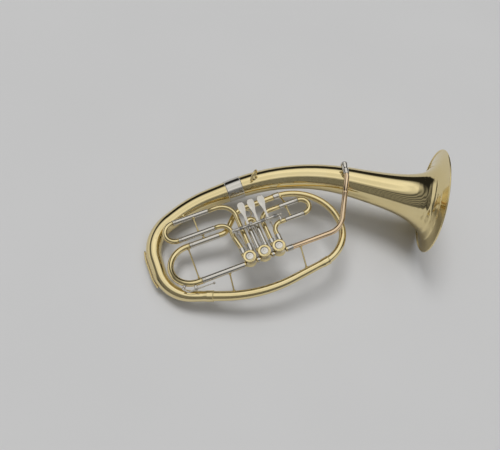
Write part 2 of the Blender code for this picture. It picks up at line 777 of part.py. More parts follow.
def leadpipe_run():
    """Leadpipe path and radii: socket on the valve stub, ring, plain pipe."""
    points = fillet(leadpipe_corners(), [LEADPIPE_TURN_R, LEADPIPE_BEND_R])
    total = distances(points)[-1]
    cover = STUB_END - SOCKET_START
    ring = total - PIPE_RING_FROM_END
    stops = [(0, SOCKET_R), (cover + 0.012, SOCKET_R), (cover + 0.0128, LEADPIPE_R),
             (ring, LEADPIPE_R), (ring + 0.0006, LEADPIPE_R + 0.0006),
             (ring + 0.0046, LEADPIPE_R + 0.0006), (ring + 0.0052, LEADPIPE_R),
             (total, LEADPIPE_R)]
    return sized(points, stops)


def leadpipe():
    """Leadpipe in reddish brass and the receiver for the mouthpiece."""
    run = leadpipe_run()
    keep(sweep("leadpipe", run, TUBE_SIDES + 2, TUBE_WALL), ROSE_BRASS)
    inner = LEADPIPE_R + GAP
    profile = [(inner, 0.0), (inner, RECEIVER_COVER + GAP),
               (LEADPIPE_R - TUBE_WALL, RECEIVER_COVER + 0.0008),
               (RECEIVER_R - 0.0017, RECEIVER_L), (RECEIVER_R - 0.0002, RECEIVER_L),
               (RECEIVER_R, RECEIVER_L - 0.0006), (RECEIVER_R, RECEIVER_L - 0.004),
               (RECEIVER_R - 0.0005, RECEIVER_L - 0.0046), (RECEIVER_R - 0.0005, 0.0004),
               (RECEIVER_R - 0.0009, 0.0)]
    obj = turned("receiver", profile, 16, LEADPIPE_OUT, closed=True)
    keep(obj, NICKEL, LEADPIPE_END - LEADPIPE_OUT * RECEIVER_COVER)


LEVERS = {1: (0.034, 0.0387, 0.0295, 0.0540), 2: (0.012, 0.0, -0.0035, 0.0275),
          3: (-0.009, -0.034, -0.0385, -0.0055)}
SPRING_STARTS = {1: 0.0450, 2: 0.0175, 3: -0.0285}


def lever(number):
    """Lever: touch plate, hinge tube, arm reaching down to the linkage, pivot pin."""
    touch_x, arm_x, low_x, high_x = LEVERS[number]
    name = f"lever_{number}"
    origin = Vector(((low_x + high_x) / 2, HINGE_Y, HINGE_Z))
    obj = cylinder(name, (low_x, HINGE_Y, HINGE_Z), (high_x, HINGE_Y, HINGE_Z),
                   HINGE_TUBE_R, SMALL_SIDES + 4)
    neck, tip = LEVER_NECK_R, LEVER_TIP_R
    outline = [(-neck, 0.001), (neck, 0.001), (neck, LEVER_REACH * 0.40)]
    outline += [(tip * 0.78, LEVER_REACH * 0.68)]
    outline += arc((0, LEVER_REACH - tip), tip, -12, 192, 8)
    outline += [(-tip * 0.78, LEVER_REACH * 0.68), (-neck, LEVER_REACH * 0.40)]
    touch = flat_plate(name + "_touch", outline, LEVER_T)
    rise = Matrix.Rotation(LEVER_SWING / 2 + math.radians(3), 4, 'X')
    place = Matrix.Translation((touch_x, HINGE_Y, HINGE_Z))
    touch.data.transform(place @ rise @ Matrix.Translation((0, 0, -LEVER_T / 2)))
    combine(obj, touch, 'UNION')
    down = Vector((0, math.sin(LEVER_SWING / 2), -math.cos(LEVER_SWING / 2)))
    hinge = Vector((arm_x, HINGE_Y, HINGE_Z))
    end = hinge + down * LINK_DROP
    arm = cylinder(name + "_arm", hinge, end, 0.0021, 4, 0.0014)
    combine(obj, arm, 'UNION')
    boss = cylinder(name + "_boss", end - Vector((0.0011, 0, 0)), end + Vector((0.0011, 0, 0)),
                    0.0024, SMALL_SIDES + 4)
    combine(obj, boss, 'UNION')
    pin = cylinder(name + "_pin", end, end + Vector((LINK_SIDE + 0.0015, 0, 0)), PIN_R, SMALL_SIDES)
    combine(obj, pin, 'UNION')
    bore = cylinder(name + "_bore", (low_x - 0.001, HINGE_Y, HINGE_Z),
                    (high_x + 0.001, HINGE_Y, HINGE_Z), HINGE_ROD_R + GAP, SMALL_SIDES + 4)
    combine(obj, bore, 'DIFFERENCE')
    keep_moved(obj, NICKEL, origin)


def keep_moved(obj, finish, origin):
    """Keep a piece drawn in place, with its origin moved to a joint."""
    bpy.context.view_layer.update()
    obj.data.transform(Matrix.Translation(-origin) @ obj.matrix_world)
    obj.rotation_euler = (0, 0, 0)
    obj.scale = (1, 1, 1)
    return keep(obj, finish, origin)


def link(number):
    """Linkage rod: round eye on the lever's pin, slotted eye on the crank pin."""
    arm_x = LEVERS[number][1]
    swing = LINK_DROP * math.sin(LEVER_SWING / 2)
    near = Vector((arm_x + LINK_SIDE, HINGE_Y + swing, LINK_Z))
    mean = CRANK_R * (1 + math.cos(TURN / 2)) / 2
    far = Vector((valve_x(number) + mean, CRANK_R * math.sin(TURN / 2), LINK_Z))
    name = f"link_{number}"
    obj = cylinder(name, near.lerp(far, 0.03), far.lerp(near, 0.05), LINK_R, SMALL_SIDES)
    eye = cylinder(name + "_eye", near - Vector((0.0010, 0, 0)), near + Vector((0.0010, 0, 0)),
                   PIN_R + GAP + 0.0011, SMALL_SIDES + 4)
    combine(obj, eye, 'UNION')
    slack = CRANK_R * (1 - math.cos(TURN / 2)) / 2
    hole_r = CRANK_PIN_R + GAP + 0.0004
    outer = slot_plate(name + "_slot", slack + 0.0002, hole_r + 0.0013, LINK_EYE_H, far)
    combine(obj, outer, 'UNION')
    inner = slot_plate(name + "_hole", slack + 0.0002, hole_r, LINK_EYE_H * 2, far)
    combine(obj, inner, 'DIFFERENCE')
    hole = cylinder(name + "_bore", near - Vector((0.003, 0, 0)), near + Vector((0.003, 0, 0)),
                    PIN_R + GAP, SMALL_SIDES + 4)
    combine(obj, hole, 'DIFFERENCE')
    keep_moved(obj, NICKEL, near)


def slot_plate(name, half, radius, height, centre):
    """Flat plate with two round ends, long way along X."""
    outline = arc((half, 0), radius, -90, 90, 5) + arc((-half, 0), radius, 90, 270, 5)
    obj = flat_plate(name, outline, height)
    obj.data.transform(Matrix.Translation(centre - Vector((0, 0, height / 2))))
    return obj


def lever_frame():
    """Hinge rod with a knob and the two posts that stand on the valve tubes."""
    obj = cylinder("lever_frame", (ROD_LEFT, HINGE_Y, HINGE_Z), (ROD_RIGHT, HINGE_Y, HINGE_Z),
                   HINGE_ROD_R, SMALL_SIDES + 4)
    knob = cylinder("rod_knob", (ROD_RIGHT - 0.001, HINGE_Y, HINGE_Z),
                    (ROD_RIGHT + 0.004, HINGE_Y, HINGE_Z), 0.0029, SMALL_SIDES + 4)
    combine(obj, knob, 'UNION')
    top = VALVE_Z + VALVE_TUBE_R + GAP
    posts = [("post_left", ROD_LEFT - 0.0022, ROD_LEFT + 0.0022, HINGE_Y - 0.0045,
              HINGE_Y + 0.0045),
             ("post_right", ROD_RIGHT - 0.0030, ROD_RIGHT - 0.0006, SLIDE_1_LOW_Y - 0.003,
              HINGE_Y + 0.0045)]
    for name, x0, x1, y0, y1 in posts:
        post = block(name, (x0, y0, top + 0.0002), (x1, y1, HINGE_Z + 0.0032))
        bevel = post.modifiers.new("round", 'BEVEL')
        bevel.width = 0.0006
        bevel.segments = 1
        combine(obj, post, 'UNION')
    keep_moved(obj, NICKEL, Vector((0, HINGE_Y, HINGE_Z)))


def coil(start, axis, across, turns, radius, pitch):
    """Centre line of a spring wound round an axis, from a start point on that axis."""
    side = axis.cross(across)
    points = []
    for i in range(turns * CURL_STEPS + 1):
        a = 2 * math.pi * i / CURL_STEPS
        along = start + axis * (pitch * i / CURL_STEPS)
        points.append(along + (across * math.cos(a) + side * math.sin(a)) * radius)
    return points


def wound_spring(name, points, tails, wire):
    """One unbroken wire along a coil and its two straight tails."""
    near = CURL_STEPS - 2
    least = min((a - b).length for i, a in enumerate(points) for b in points[i + near:])
    print(f"{name} least gap to itself {(least - 2 * wire) * 1000:.2f} mm")
    whole = [points[0] + tails[0]] + points + [points[-1] + tails[1]]
    keep(sweep(name, [(p, wire) for p in whole], 6), STEEL)


def lever_springs():
    """Return springs of the levers, wound round their hinge tubes."""
    radius = HINGE_TUBE_R + SPRING_WIRE_R + GAP
    for number, start_x in SPRING_STARTS.items():
        points = coil(Vector((start_x, HINGE_Y, HINGE_Z)), Vector((1, 0, 0)),
                      Vector((0, 1, 0)), 5, radius, SPRING_PITCH)
        wound_spring(f"lever_spring_{number}", points,
                     (Vector((0, 0, -0.0060)), Vector((0, 0, 0.0045))), SPRING_WIRE_R)


def key_seat():
    """Seat of the nipple on the tuning bow and the way it points."""
    low = Vector((0, -PORT, VALVE_Z))
    high = Vector((0, TUNING_Y, TUNING_Z))
    across = (high - low).normalized()
    half = (high - low).length / 2
    centre = (low + high) / 2 + Vector((TUNING_BOW_X, 0, 0))
    out = Vector((-1, 0, 0)) * math.sin(KEY_ANGLE) - across * math.cos(KEY_ANGLE)
    return centre + out * (half + TUNING_BOW_R + GAP), out


def water_key():
    """Water key on the tuning bow: nipple, saddle, lever with its cork, and spring."""
    seat, out = key_seat()
    profile = [(KEY_BORE_R, NIPPLE_H), (0.0030, NIPPLE_H), (0.0030, NIPPLE_H - 0.001),
               (0.0026, NIPPLE_H - 0.0012), (0.0032, 0.0), (KEY_BORE_R, 0.0)]
    keep(turned("key_nipple", profile, 12, out, closed=True), NICKEL, seat)
    key_lever(seat + out * (NIPPLE_H + GAP), out)
    key_saddle()
    points = coil(KEY_PIVOT + Vector((0, 0, 0.0007)), Vector((0, 0, 1)), Vector((0, 1, 0)),
                  3, KEY_BOSS_R + KEY_WIRE_R + GAP, 0.00115)
    wound_spring("key_spring", points,
                 (Vector((-0.0040, 0, 0)), Vector((0.0040, 0, 0))), KEY_WIRE_R)


def key_lever(pad, out):
    """Key lever: cork pad in its cup, arm, boss on the pivot, ball at the touch."""
    name = "key_lever"
    arm_z = Vector((0, 0, -0.0015))
    obj = cylinder(name, KEY_PIVOT - Vector((0, 0, 0.0036)), KEY_PIVOT + Vector((0, 0, 0.0046)),
                   KEY_BOSS_R, 12)
    cup = pad + out * 0.0018
    combine(obj, cylinder(name + "_cup", cup, cup + out * 0.0016, 0.0036, 12), 'UNION')
    combine(obj, cylinder(name + "_cork", pad, cup + out * 0.0004, 0.0030, 12), 'UNION')
    bend = Vector((cup.x + 0.007, KEY_PIVOT.y - 0.0012, KEY_PIVOT.z)) + arm_z
    end = Vector((KEY_END_X, KEY_PIVOT.y - 0.001, KEY_PIVOT.z)) + arm_z
    arm = [(cup + out * 0.0011, 0.0014), (bend, 0.0013), (KEY_PIVOT + arm_z, 0.0015),
           (end, 0.0011)]
    combine(obj, sweep(name + "_arm", arm, 8), 'UNION')
    bpy.ops.mesh.primitive_uv_sphere_add(segments=10, ring_count=6, radius=0.0026, location=end)
    ball = bpy.context.object
    ball.name = name + "_ball"
    combine(obj, ball, 'UNION')
    bore = cylinder(name + "_bore", KEY_PIVOT - Vector((0, 0, 0.006)),
                    KEY_PIVOT + Vector((0, 0, 0.006)), KEY_PIN_R + GAP, 12)
    combine(obj, bore, 'DIFFERENCE')
    keep_moved(obj, NICKEL, KEY_PIVOT)


def key_saddle():
    """Saddle: a foot on the tuning bow, two ears and the pivot pin."""
    x, z = KEY_PIVOT.x, KEY_PIVOT.z
    top = -PORT - TUNING_BOW_R - GAP
    obj = cylinder("key_saddle", KEY_PIVOT - Vector((0, 0, 0.0052)),
                   KEY_PIVOT + Vector((0, 0, 0.0062)), KEY_PIN_R, 8)
    foot = block("saddle_foot", (x - 0.003, top - 0.0018, z - 0.0052),
                 (x + 0.003, top - 0.0002, z + 0.0062))
    combine(obj, foot, 'UNION')
    for tag, low, high in (("low", -0.0052, -0.0040), ("high", 0.0050, 0.0062)):
        ear = block(f"saddle_ear_{tag}", (x - 0.0020, KEY_PIVOT.y - 0.002, z + low),
                    (x + 0.0020, top - 0.001, z + high))
        combine(obj, ear, 'UNION')
    keep_moved(obj, NICKEL, KEY_PIVOT)


def brace(name, first, second, spot, far_spot=None):
    """Thin turned rod with feet that follow the two tubes it joins."""
    a, along_a, ra = tangent(first, Vector(spot))
    b, along_b, rb = tangent(second, Vector(far_spot) if far_spot else a)
    if far_spot is None:
        a, along_a, ra = tangent(first, b)
    axis = (b - a).normalized()
    start, end = ra - 0.0006, (b - a).length - rb + 0.0006
    foot, neck = 0.0016, 0.0034
    profile = [(0, end), (BRACE_FOOT_R, end), (BRACE_FOOT_R, end - foot),
               (BRACE_R, end - neck), (BRACE_R, start + neck), (BRACE_FOOT_R, start + foot),
               (BRACE_FOOT_R, start), (0, start)]
    obj = turned(name, profile, SMALL_SIDES, axis)
    obj.location = a
    for tag, centre, along, radius in (("a", a, along_a, ra), ("b", b, along_b, rb)):
        cut = cylinder(f"{name}_{tag}", centre - along * 0.01, centre + along * 0.01,
                       (radius + GAP) / math.cos(math.pi / 16), 16)
        combine(obj, cut, 'DIFFERENCE')
    keep(obj, BRASS, a)


def straight_run(start, end, radius):
    """Run of a plain straight tube."""
    return [(Vector(start), radius), (Vector(end), radius)]


def braces():
    """Braces between neighbouring tubes."""
    z = VALVE_Z
    three_high = straight_run((SLIDE_3_START, SLIDE_3_HIGH_Y, z),
                              (SLIDE_3_END, SLIDE_3_HIGH_Y, z), LEG_R)
    three_low = straight_run((SLIDE_3_START, SLIDE_3_LOW_Y, z),
                             (SLIDE_3_END, SLIDE_3_LOW_Y, z), LEG_R)
    one_high = straight_run((SLIDE_1_START, SLIDE_1_HIGH_Y, z),
                            (SLIDE_1_END, SLIDE_1_HIGH_Y, z), LEG_R)
    one_low = straight_run((SLIDE_1_START, SLIDE_1_LOW_Y, z),
                           (SLIDE_1_END, SLIDE_1_LOW_Y, z), LEG_R)
    tuning_high = straight_run((TUNING_START, TUNING_Y, TUNING_Z),
                               (TUNING_END, TUNING_Y, TUNING_Z), TUNING_LEG_R)
    tuning_low = straight_run((-0.05, -PORT, z), (TUNING_END, -PORT, z), TUNING_LEG_R)
    bow_high = straight_run((TUNING_END, TUNING_Y, TUNING_Z),
                            (TUNING_BOW_X, TUNING_Y, TUNING_Z), TUNING_BOW_R)
    bow_low = straight_run((TUNING_END, -PORT, z), (TUNING_BOW_X, -PORT, z), TUNING_BOW_R)
    pipe = leadpipe_run()
    brace("brace_slide_3", three_high, three_low, (-0.107, SLIDE_3_HIGH_Y, z))
    brace("brace_tuning_leg", three_low, tuning_high, (-0.101, SLIDE_3_LOW_Y, z))
    brace("brace_tuning_bow", bow_high, bow_low,
          ((TUNING_END + TUNING_BOW_X) / 2 - 0.0012, TUNING_Y, TUNING_Z),
          ((TUNING_END + TUNING_BOW_X) / 2 - 0.0012, -PORT, z))
    brace("brace_bottom_left", tuning_low, OVAL, (-0.078, -PORT, z), (-0.084, -0.053, 0))
    brace("brace_bottom_right", pipe, OVAL, (BRACE_RIGHT_X, -PORT, z),
          (BRACE_RIGHT_X - 0.005, -0.057, 0))
    brace("brace_slide_1", one_high, one_low, (0.081, SLIDE_1_HIGH_Y, z))
    brace("brace_branch", OVAL, one_high, (0.083, 0.127, 0), (0.083, SLIDE_1_HIGH_Y, z))
    brace("brace_stem", cut_run(OVAL, 0.44, 0.66), three_high, (-0.123, 0.152, 0),
          (-0.123, SLIDE_3_HIGH_Y, z))


def strap_ring():
    """Ring for a strap, standing on a foot on the stem."""
    spot = point_at([point for point, _ in OVAL], STEM_END - RING_FROM_STEM_END)
    point, along, radius = tangent(OVAL, spot)
    out = (RING_OUT - along * RING_OUT.dot(along)).normalized()
    foot_at = point + out * (radius + GAP)
    obj = cylinder("strap_ring", foot_at - out * 0.0004, foot_at + out * 0.0026, 0.0046, 12)
    centre = foot_at + out * (0.0018 + RING_R)
    normal = Matrix.Rotation(RING_TURN, 3, out) @ along
    turn = Vector((0, 0, 1)).rotation_difference(normal).to_euler()
    bpy.ops.mesh.primitive_torus_add(major_segments=18, minor_segments=6, major_radius=RING_R,
                                     minor_radius=RING_WIRE_R, location=centre, rotation=turn)
    ring = bpy.context.object
    ring.name = "ring_wire"
    combine(obj, ring, 'UNION')
    cut = cylinder("ring_seat", point - along * 0.01, point + along * 0.01, radius + GAP, 32)
    combine(obj, cut, 'DIFFERENCE')
    keep_moved(obj, BRASS, centre)


def lay_down():
    """Tilt the horn so that it lies on the hull face under its centre of mass."""
    bpy.context.view_layer.update()
    graph = bpy.context.evaluated_depsgraph_get()
    hull = bmesh.new()
    balance, volume = Vector(), 0.0
    for obj in HORN.objects:
        if obj.type != 'MESH':
            continue
        shape = obj.evaluated_get(graph)
        mesh = shape.to_mesh()
        spots = [obj.matrix_world @ vertex.co for vertex in mesh.vertices]
        mesh.calc_loop_triangles()
        for triangle in mesh.loop_triangles:
            a, b, c = (spots[i] for i in triangle.vertices)
            piece = a.dot(b.cross(c)) / 6
            balance += (a + b + c) / 4 * piece
            volume += piece
        for spot in spots:
            hull.verts.new(spot)
        shape.to_mesh_clear()
    balance /= volume
    bmesh.ops.convex_hull(hull, input=hull.verts)
    best = None
    for face in hull.faces:
        normal = face.normal.copy()
        height = (face.verts[0].co - balance).dot(normal)
        if height < 0:
            normal, height = -normal, -height
        if normal.z < -0.6 and (best is None or height < best[0]):
            best = (height, normal, face.verts[0].co.copy())
    height, down, _ = best
    turn = down.rotation_difference(Vector((0, 0, -1)))
    laid = [turn @ vertex.co for vertex in hull.verts]
    hull.free()
    low = [min(spot[i] for spot in laid) for i in range(3)]
    high = [max(spot[i] for spot in laid) for i in range(3)]
    FRAME.rotation_mode = 'QUATERNION'
    FRAME.rotation_quaternion = turn
    FRAME.location = (-(low[0] + high[0]) / 2, -(low[1] + high[1]) / 2, -low[2])
    bpy.context.view_layer.update()
    print("size", [round(high[i] - low[i], 4) for i in range(3)])
    print("volume cm3", round(volume * 1e6, 1), "centre", [round(v, 4) for v in balance])
    print("down", [round(v, 5) for v in down], "height", round(height, 4))


bell()
bows()
ferrules()
bow_guard()
for valve in (1, 2, 3):
    valve_casing(valve)
    rotor(valve)
    valve_cap(valve)
    lever(valve)
    link(valve)
connecting_tubes()
valve_tubes()
slide_legs()
slide_bows()
leadpipe()
lever_frame()
lever_springs()
water_key()
braces()
strap_ring()
lay_down()
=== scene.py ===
import json
import math

import bpy
from mathutils import Matrix, Vector


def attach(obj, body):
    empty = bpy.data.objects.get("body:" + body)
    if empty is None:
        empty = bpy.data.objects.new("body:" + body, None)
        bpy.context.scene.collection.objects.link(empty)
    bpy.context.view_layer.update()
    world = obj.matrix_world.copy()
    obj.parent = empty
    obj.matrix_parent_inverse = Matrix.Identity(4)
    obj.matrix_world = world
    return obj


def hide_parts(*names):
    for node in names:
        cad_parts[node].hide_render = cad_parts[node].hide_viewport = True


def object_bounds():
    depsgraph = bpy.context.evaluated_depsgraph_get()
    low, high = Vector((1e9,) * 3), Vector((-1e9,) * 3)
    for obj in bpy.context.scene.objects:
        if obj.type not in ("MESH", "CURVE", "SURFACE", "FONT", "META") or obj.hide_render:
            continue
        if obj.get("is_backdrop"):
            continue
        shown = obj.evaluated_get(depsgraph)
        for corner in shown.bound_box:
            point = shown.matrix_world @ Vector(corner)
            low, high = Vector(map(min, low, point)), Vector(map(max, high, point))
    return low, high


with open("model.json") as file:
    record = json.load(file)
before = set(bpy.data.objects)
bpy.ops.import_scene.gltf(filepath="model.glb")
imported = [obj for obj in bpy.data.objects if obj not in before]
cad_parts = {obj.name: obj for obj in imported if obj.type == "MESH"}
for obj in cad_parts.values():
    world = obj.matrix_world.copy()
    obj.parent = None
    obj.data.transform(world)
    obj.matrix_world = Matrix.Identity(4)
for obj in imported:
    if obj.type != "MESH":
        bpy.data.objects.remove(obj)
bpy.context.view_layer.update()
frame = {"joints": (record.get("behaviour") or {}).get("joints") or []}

# Camera
# It stands above and in front of the horn. Its place is written in the horn's own axes
# (along the valves, across towards the stem, up along the valve axes), which the three
# rotor joints give, so everything below is drawn in those axes and then laid down.
VALVE_Z = 0.024
LENS_MM = 38.59
SENSOR_MM = 36
EYE = (-0.13909, -0.44503, 0.98438)
EYE_RIGHT = (0.932588, -0.355921, -0.060006)
EYE_UP = (0.339303, 0.807777, 0.482048)
EYE_BACK = (-0.123099, -0.469912, 0.874087)

joints = {joint["name"]: joint for joint in frame["joints"]}
first_valve, third_valve = (Vector(joints[f"rotor_{n}_turn"]["pos_m"]) for n in (1, 3))
lift = Vector(joints["rotor_2_turn"]["axis"]).normalized()
along = (first_valve - third_valve).normalized()
home = (first_valve + third_valve) / 2 - lift * VALVE_Z
PLACE = Matrix.Translation(home) @ Matrix((along, lift.cross(along), lift)).transposed().to_4x4()

bpy.ops.object.camera_add()
camera = bpy.context.object
camera.name = "camera"
camera.data.lens = LENS_MM
camera.data.sensor_width = SENSOR_MM
look = Matrix((EYE_RIGHT, EYE_UP, EYE_BACK)).transposed().to_4x4()
camera.matrix_world = PLACE @ Matrix.Translation(EYE) @ look
camera.data.clip_end = 30
bpy.context.scene.camera = camera


# Bell and stem
# One hollow horn of thin yellow brass, beaten and drawn over a mandrel, with a wire rolled
# into its rim. It is lacquered, and soldered into the ferrule that joins it to the bow.
BELL_R = 0.110
BELL_FLARE = 0.0068
BELL_POWER = 0.38
BELL_WALL = 0.0007
BELL_SIDES = 144
RIM_WIRE_R = 0.0016
BELL_CENTRE = Vector((0.3816, -0.0042, -0.015))
BELL_AXIS = Vector((0.855, -0.507, -0.097)).normalized()
UP = Vector((0, 0, 1))
WALL = 0.0006
GAP = 0.0003

# Where each tube of the conical run ends, as distances behind the rim.
STEM_END = 0.434
BOW_END = 0.848
BOTTOM_END = 1.093
LOOP_END = 1.361

# Two places nearer than this are one, and so are two points of a mesh.
SAME_PLACE = 1e-5
SAME_POINT = 1e-6
CURVE_UNIT = 0.001


class Socket:
    """A value in a material, so that shader maths reads as plain sums."""

    def __init__(self, tree, link):
        self.tree = tree
        self.link = link

    def make(self, kind, settings=None, output=0, **inputs):
        node = self.tree.nodes.new(kind)
        for key, value in (settings or {}).items():
            setattr(node, key, value)
        for key, value in inputs.items():
            place = int(key[1:]) if key[1:].isdigit() else key.replace("_", " ")
            if isinstance(value, Socket):
                self.tree.links.new(value.link, node.inputs[place])
            else:
                node.inputs[place].default_value = value
        return Socket(self.tree, node.outputs[output])

    def maths(self, operation, first, second):
        return self.make("ShaderNodeMath", {"operation": operation}, i0=first, i1=second)

    def __add__(self, other):
        return self.maths("ADD", self, other)

    def __sub__(self, other):
        return self.maths("SUBTRACT", self, other)

    def __rsub__(self, other):
        return self.maths("SUBTRACT", other, self)

    def __mul__(self, other):
        return self.maths("MULTIPLY", self, other)

    __radd__, __rmul__ = __add__, __mul__

    def blend(self, low, high):
        return self.make("ShaderNodeMix", {"data_type": "RGBA"}, 2, Factor=self, i6=low, i7=high)


def start_material(name, roughness, metallic, coat):
    """New material with its shader's fixed values set."""
    mat = bpy.data.materials.new(name)
    mat.use_nodes = True
    tree = mat.node_tree
    shader = tree.nodes["Principled BSDF"]
    for key, value in (("Roughness", roughness), ("Metallic", metallic),
                       ("Coat Weight", coat), ("Coat Roughness", 0.04)):
        shader.inputs[key].default_value = value
    where = tree.nodes.new("ShaderNodeTexCoord").outputs["Object"]
    return mat, Socket(tree, where), shader


def join_shader(shader, **values):
    """Feed worked-out values into the shader."""
    for key, value in values.items():
        value.tree.links.new(value.link, shader.inputs[key.replace("_", " ")])


def polished_metal(name, pale, deep, roughness, coat):
    """Buffed metal: faint clouds of tone, hairlines from the buffing wheel, fine pits."""
    mat, spot, shader = start_material(name, roughness, 1.0, coat)
    cloud = spot.make("ShaderNodeTexNoise", Vector=spot, Scale=16, Detail=3, Roughness=0.55)
    tone = cloud.blend((*deep, 1), (*pale, 1))
    drawn = spot.make("ShaderNodeMapping", Vector=spot, Scale=(260, 1900, 1900))
    hairs = spot.make("ShaderNodeTexNoise", Vector=drawn, Scale=1, Detail=2)
    smear = spot.make("ShaderNodeTexNoise", Vector=spot, Scale=55, Detail=4, Roughness=0.7)
    rough = roughness * (0.55 + 0.5 * smear + 0.4 * hairs * hairs)
    pits = spot.make("ShaderNodeTexNoise", Vector=spot, Scale=900, Detail=2)
    bump = spot.make("ShaderNodeBump", Strength=0.035, Distance=0.0004,
                     Height=pits + 0.4 * hairs)
    join_shader(shader, Base_Color=tone, Roughness=rough, Normal=bump)
    return mat


FINISHES = {"brass": polished_metal(
    "lacquered_brass", (0.88, 0.75, 0.43), (0.80, 0.65, 0.32), 0.08, 0.15)}


def alone(obj):
    """Select one object only."""
    bpy.ops.object.select_all(action='DESELECT')
    obj.select_set(True)
    bpy.context.view_layer.objects.active = obj
    return obj


def fresh(add, **settings):
    """Add a primitive while nothing else is selected."""
    bpy.ops.object.select_all(action='DESELECT')
    add(**settings)
    return bpy.context.object


def settle(obj):
    """Write an object's place, turn and size into its mesh."""
    alone(obj)
    bpy.ops.object.transform_apply(location=True, rotation=True, scale=True)
    return obj


def apply_all(obj):
    """Apply a piece's modifiers in order."""
    alone(obj)
    for step in list(obj.modifiers):
        bpy.ops.object.modifier_apply(modifier=step.name)
    return obj


def fuse(obj, *others):
    """Join finished shapes into one piece."""
    alone(obj)
    for other in others:
        other.select_set(True)
    bpy.ops.object.join()
    return obj


def hand_over(obj, node, body, finish, name=None):
    """Lay a piece down, smooth it, give it its finish and set it on its body."""
    apply_all(obj)
    obj.name = obj.data.name = name or f"{node}_{finish}"
    obj.matrix_world = PLACE @ obj.matrix_world
    settle(obj)
    bpy.ops.object.shade_smooth_by_angle(angle=math.radians(40))
    obj.data.materials.clear()
    obj.data.materials.append(FINISHES[finish])
    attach(obj, body)
    if name is None:
        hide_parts(node)
    return obj


def route(corners, bends, step=4.0):
    """Straight runs between corners, each corner rounded to its radius."""
    corners = [Vector(c) for c in corners]
    points = [corners[0]]
    for a, b, c, radius in zip(corners, corners[1:], corners[2:], bends):
        back, ahead = (a - b).normalized(), (c - b).normalized()
        half = (math.pi - back.angle(ahead)) / 2
        centre = b + (back + ahead).normalized() * radius / math.cos(half)
        start = b + back * radius * math.tan(half) - centre
        axis = start.cross(b + ahead * radius * math.tan(half) - centre).normalized()
        steps = max(4, math.ceil(math.degrees(2 * half) / step))
        for i in range(steps + 1):
            spot = centre + Matrix.Rotation(2 * half * i / steps, 3, axis) @ start
            if (spot - points[-1]).length > SAME_PLACE:
                points.append(spot)
    if (corners[-1] - points[-1]).length > SAME_PLACE:
        points.append(corners[-1])
    return points


def marks_of(points):
    """Distance of each point along a route."""
    total = [0.0]
    for a, b in zip(points, points[1:]):
        total.append(total[-1] + (b - a).length)
    return total


def point_at(points, distance):
    """Point at a distance along a route."""
    marks = marks_of(points)
    for a, b, low, high in zip(points, points[1:], marks, marks[1:]):
        if distance <= high:
            return a.lerp(b, (distance - low) / (high - low))
    return points[-1].copy()


def between(stops, distance):
    """Radius at a distance, straight from one stop to the next."""
    for (low, first), (high, last) in zip(stops, stops[1:]):
        if distance <= high:
            return first + (last - first) * max(0.0, (distance - low) / (high - low))
    return stops[-1][1]


def stations(points, stops):
    """(point, radius) at every point of a route and at every stop."""
    marks = marks_of(points)
    spots = set(marks)
    for distance, _ in stops:
        if 0 < distance < marks[-1] and min(abs(distance - m) for m in spots) > SAME_PLACE:
            spots.add(distance)
    return [(point_at(points, s), between(stops, s)) for s in sorted(spots)]


def open_mesh():
    """Edit the active shape, all of it selected."""
    bpy.ops.object.mode_set(mode='EDIT')
    bpy.ops.mesh.select_all(action='SELECT')


def close_mesh():
    """Merge doubled points, turn the faces outwards and stop editing."""
    bpy.ops.mesh.select_all(action='SELECT')
    bpy.ops.mesh.remove_doubles(threshold=SAME_POINT)
    bpy.ops.mesh.normals_make_consistent(inside=False)
    bpy.ops.object.mode_set(mode='OBJECT')


def pipe(run, wall=0.0, sides=36):
    """Round tube along (point, radius) stations. Without a wall it is a solid rod."""
    obj = fresh(bpy.ops.curve.primitive_nurbs_path_add)
    data = obj.data
    data.splines.clear()
    data.bevel_depth = CURVE_UNIT
    data.bevel_resolution = (sides - 4) // 2
    data.use_fill_caps = wall == 0
    spline = data.splines.new('POLY')
    spline.points.add(len(run) - 1)
    for spot, (point, radius) in zip(spline.points, run):
        spot.co = (*point, 1)
        spot.radius = radius / CURVE_UNIT
    bpy.ops.object.convert(target='MESH')
    open_mesh()
    close_mesh()
    if wall:
        face = obj.data.polygons[0]
        middle = min((p for p, _ in run), key=lambda p: (p - face.center).length)
        if face.normal.dot(face.center - middle) < 0:
            obj.data.flip_normals()
        shell = obj.modifiers.new("wall", 'SOLIDIFY')
        shell.thickness = wall
        shell.offset = -1
        apply_all(obj)
    return obj


def wire_ring(radius, wire_r, centre, axis=(0, 0, 1), around=64, section=16):
    """Ring of round wire that faces along an axis."""
    turn = UP.rotation_difference(Vector(axis))
    return fresh(bpy.ops.mesh.primitive_torus_add, major_segments=around,
                 minor_segments=section, major_radius=radius, minor_radius=wire_r,
                 location=centre, rotation=turn.to_euler())


# Corners of the whole conical run from the rim to the valves, and the radius of each bend.
OVAL_CORNERS = [BELL_CENTRE, BELL_CENTRE - BELL_AXIS * 0.020, (0.131, 0.1775, 0.012),
                (-0.100, 0.1755, 0.004), (-0.2095, 0.1377, 0), (-0.2095, -0.0028, 0),
                (-0.036, -0.0722, 0), (0.175, -0.0445, 0), (0.175, 0.130, 0),
                (-0.016, 0.125, 0.004), (-0.054, 0.080, 0.012), (-0.078, 0.080, 0.012)]
OVAL_BENDS = [0.280, 0.400, 0.250, 0.076, 0.078, 0.285, 0.077, 0.1015, 0.040, 0.020]
OVAL = route(OVAL_CORNERS, OVAL_BENDS, 3)
OVAL_MARKS = marks_of(OVAL)
OVAL_LENGTH = OVAL_MARKS[-1]

# The last tube narrows here to the stretch that slips into the tuning slide's leg.
TIP_STEP, TIP_START, TIP_R = OVAL_LENGTH - 0.0084, OVAL_LENGTH - 0.0078, 0.0052

# Least and greatest distance between two stations.
NEAR_STEP, FAR_STEP = 0.0003, 0.006


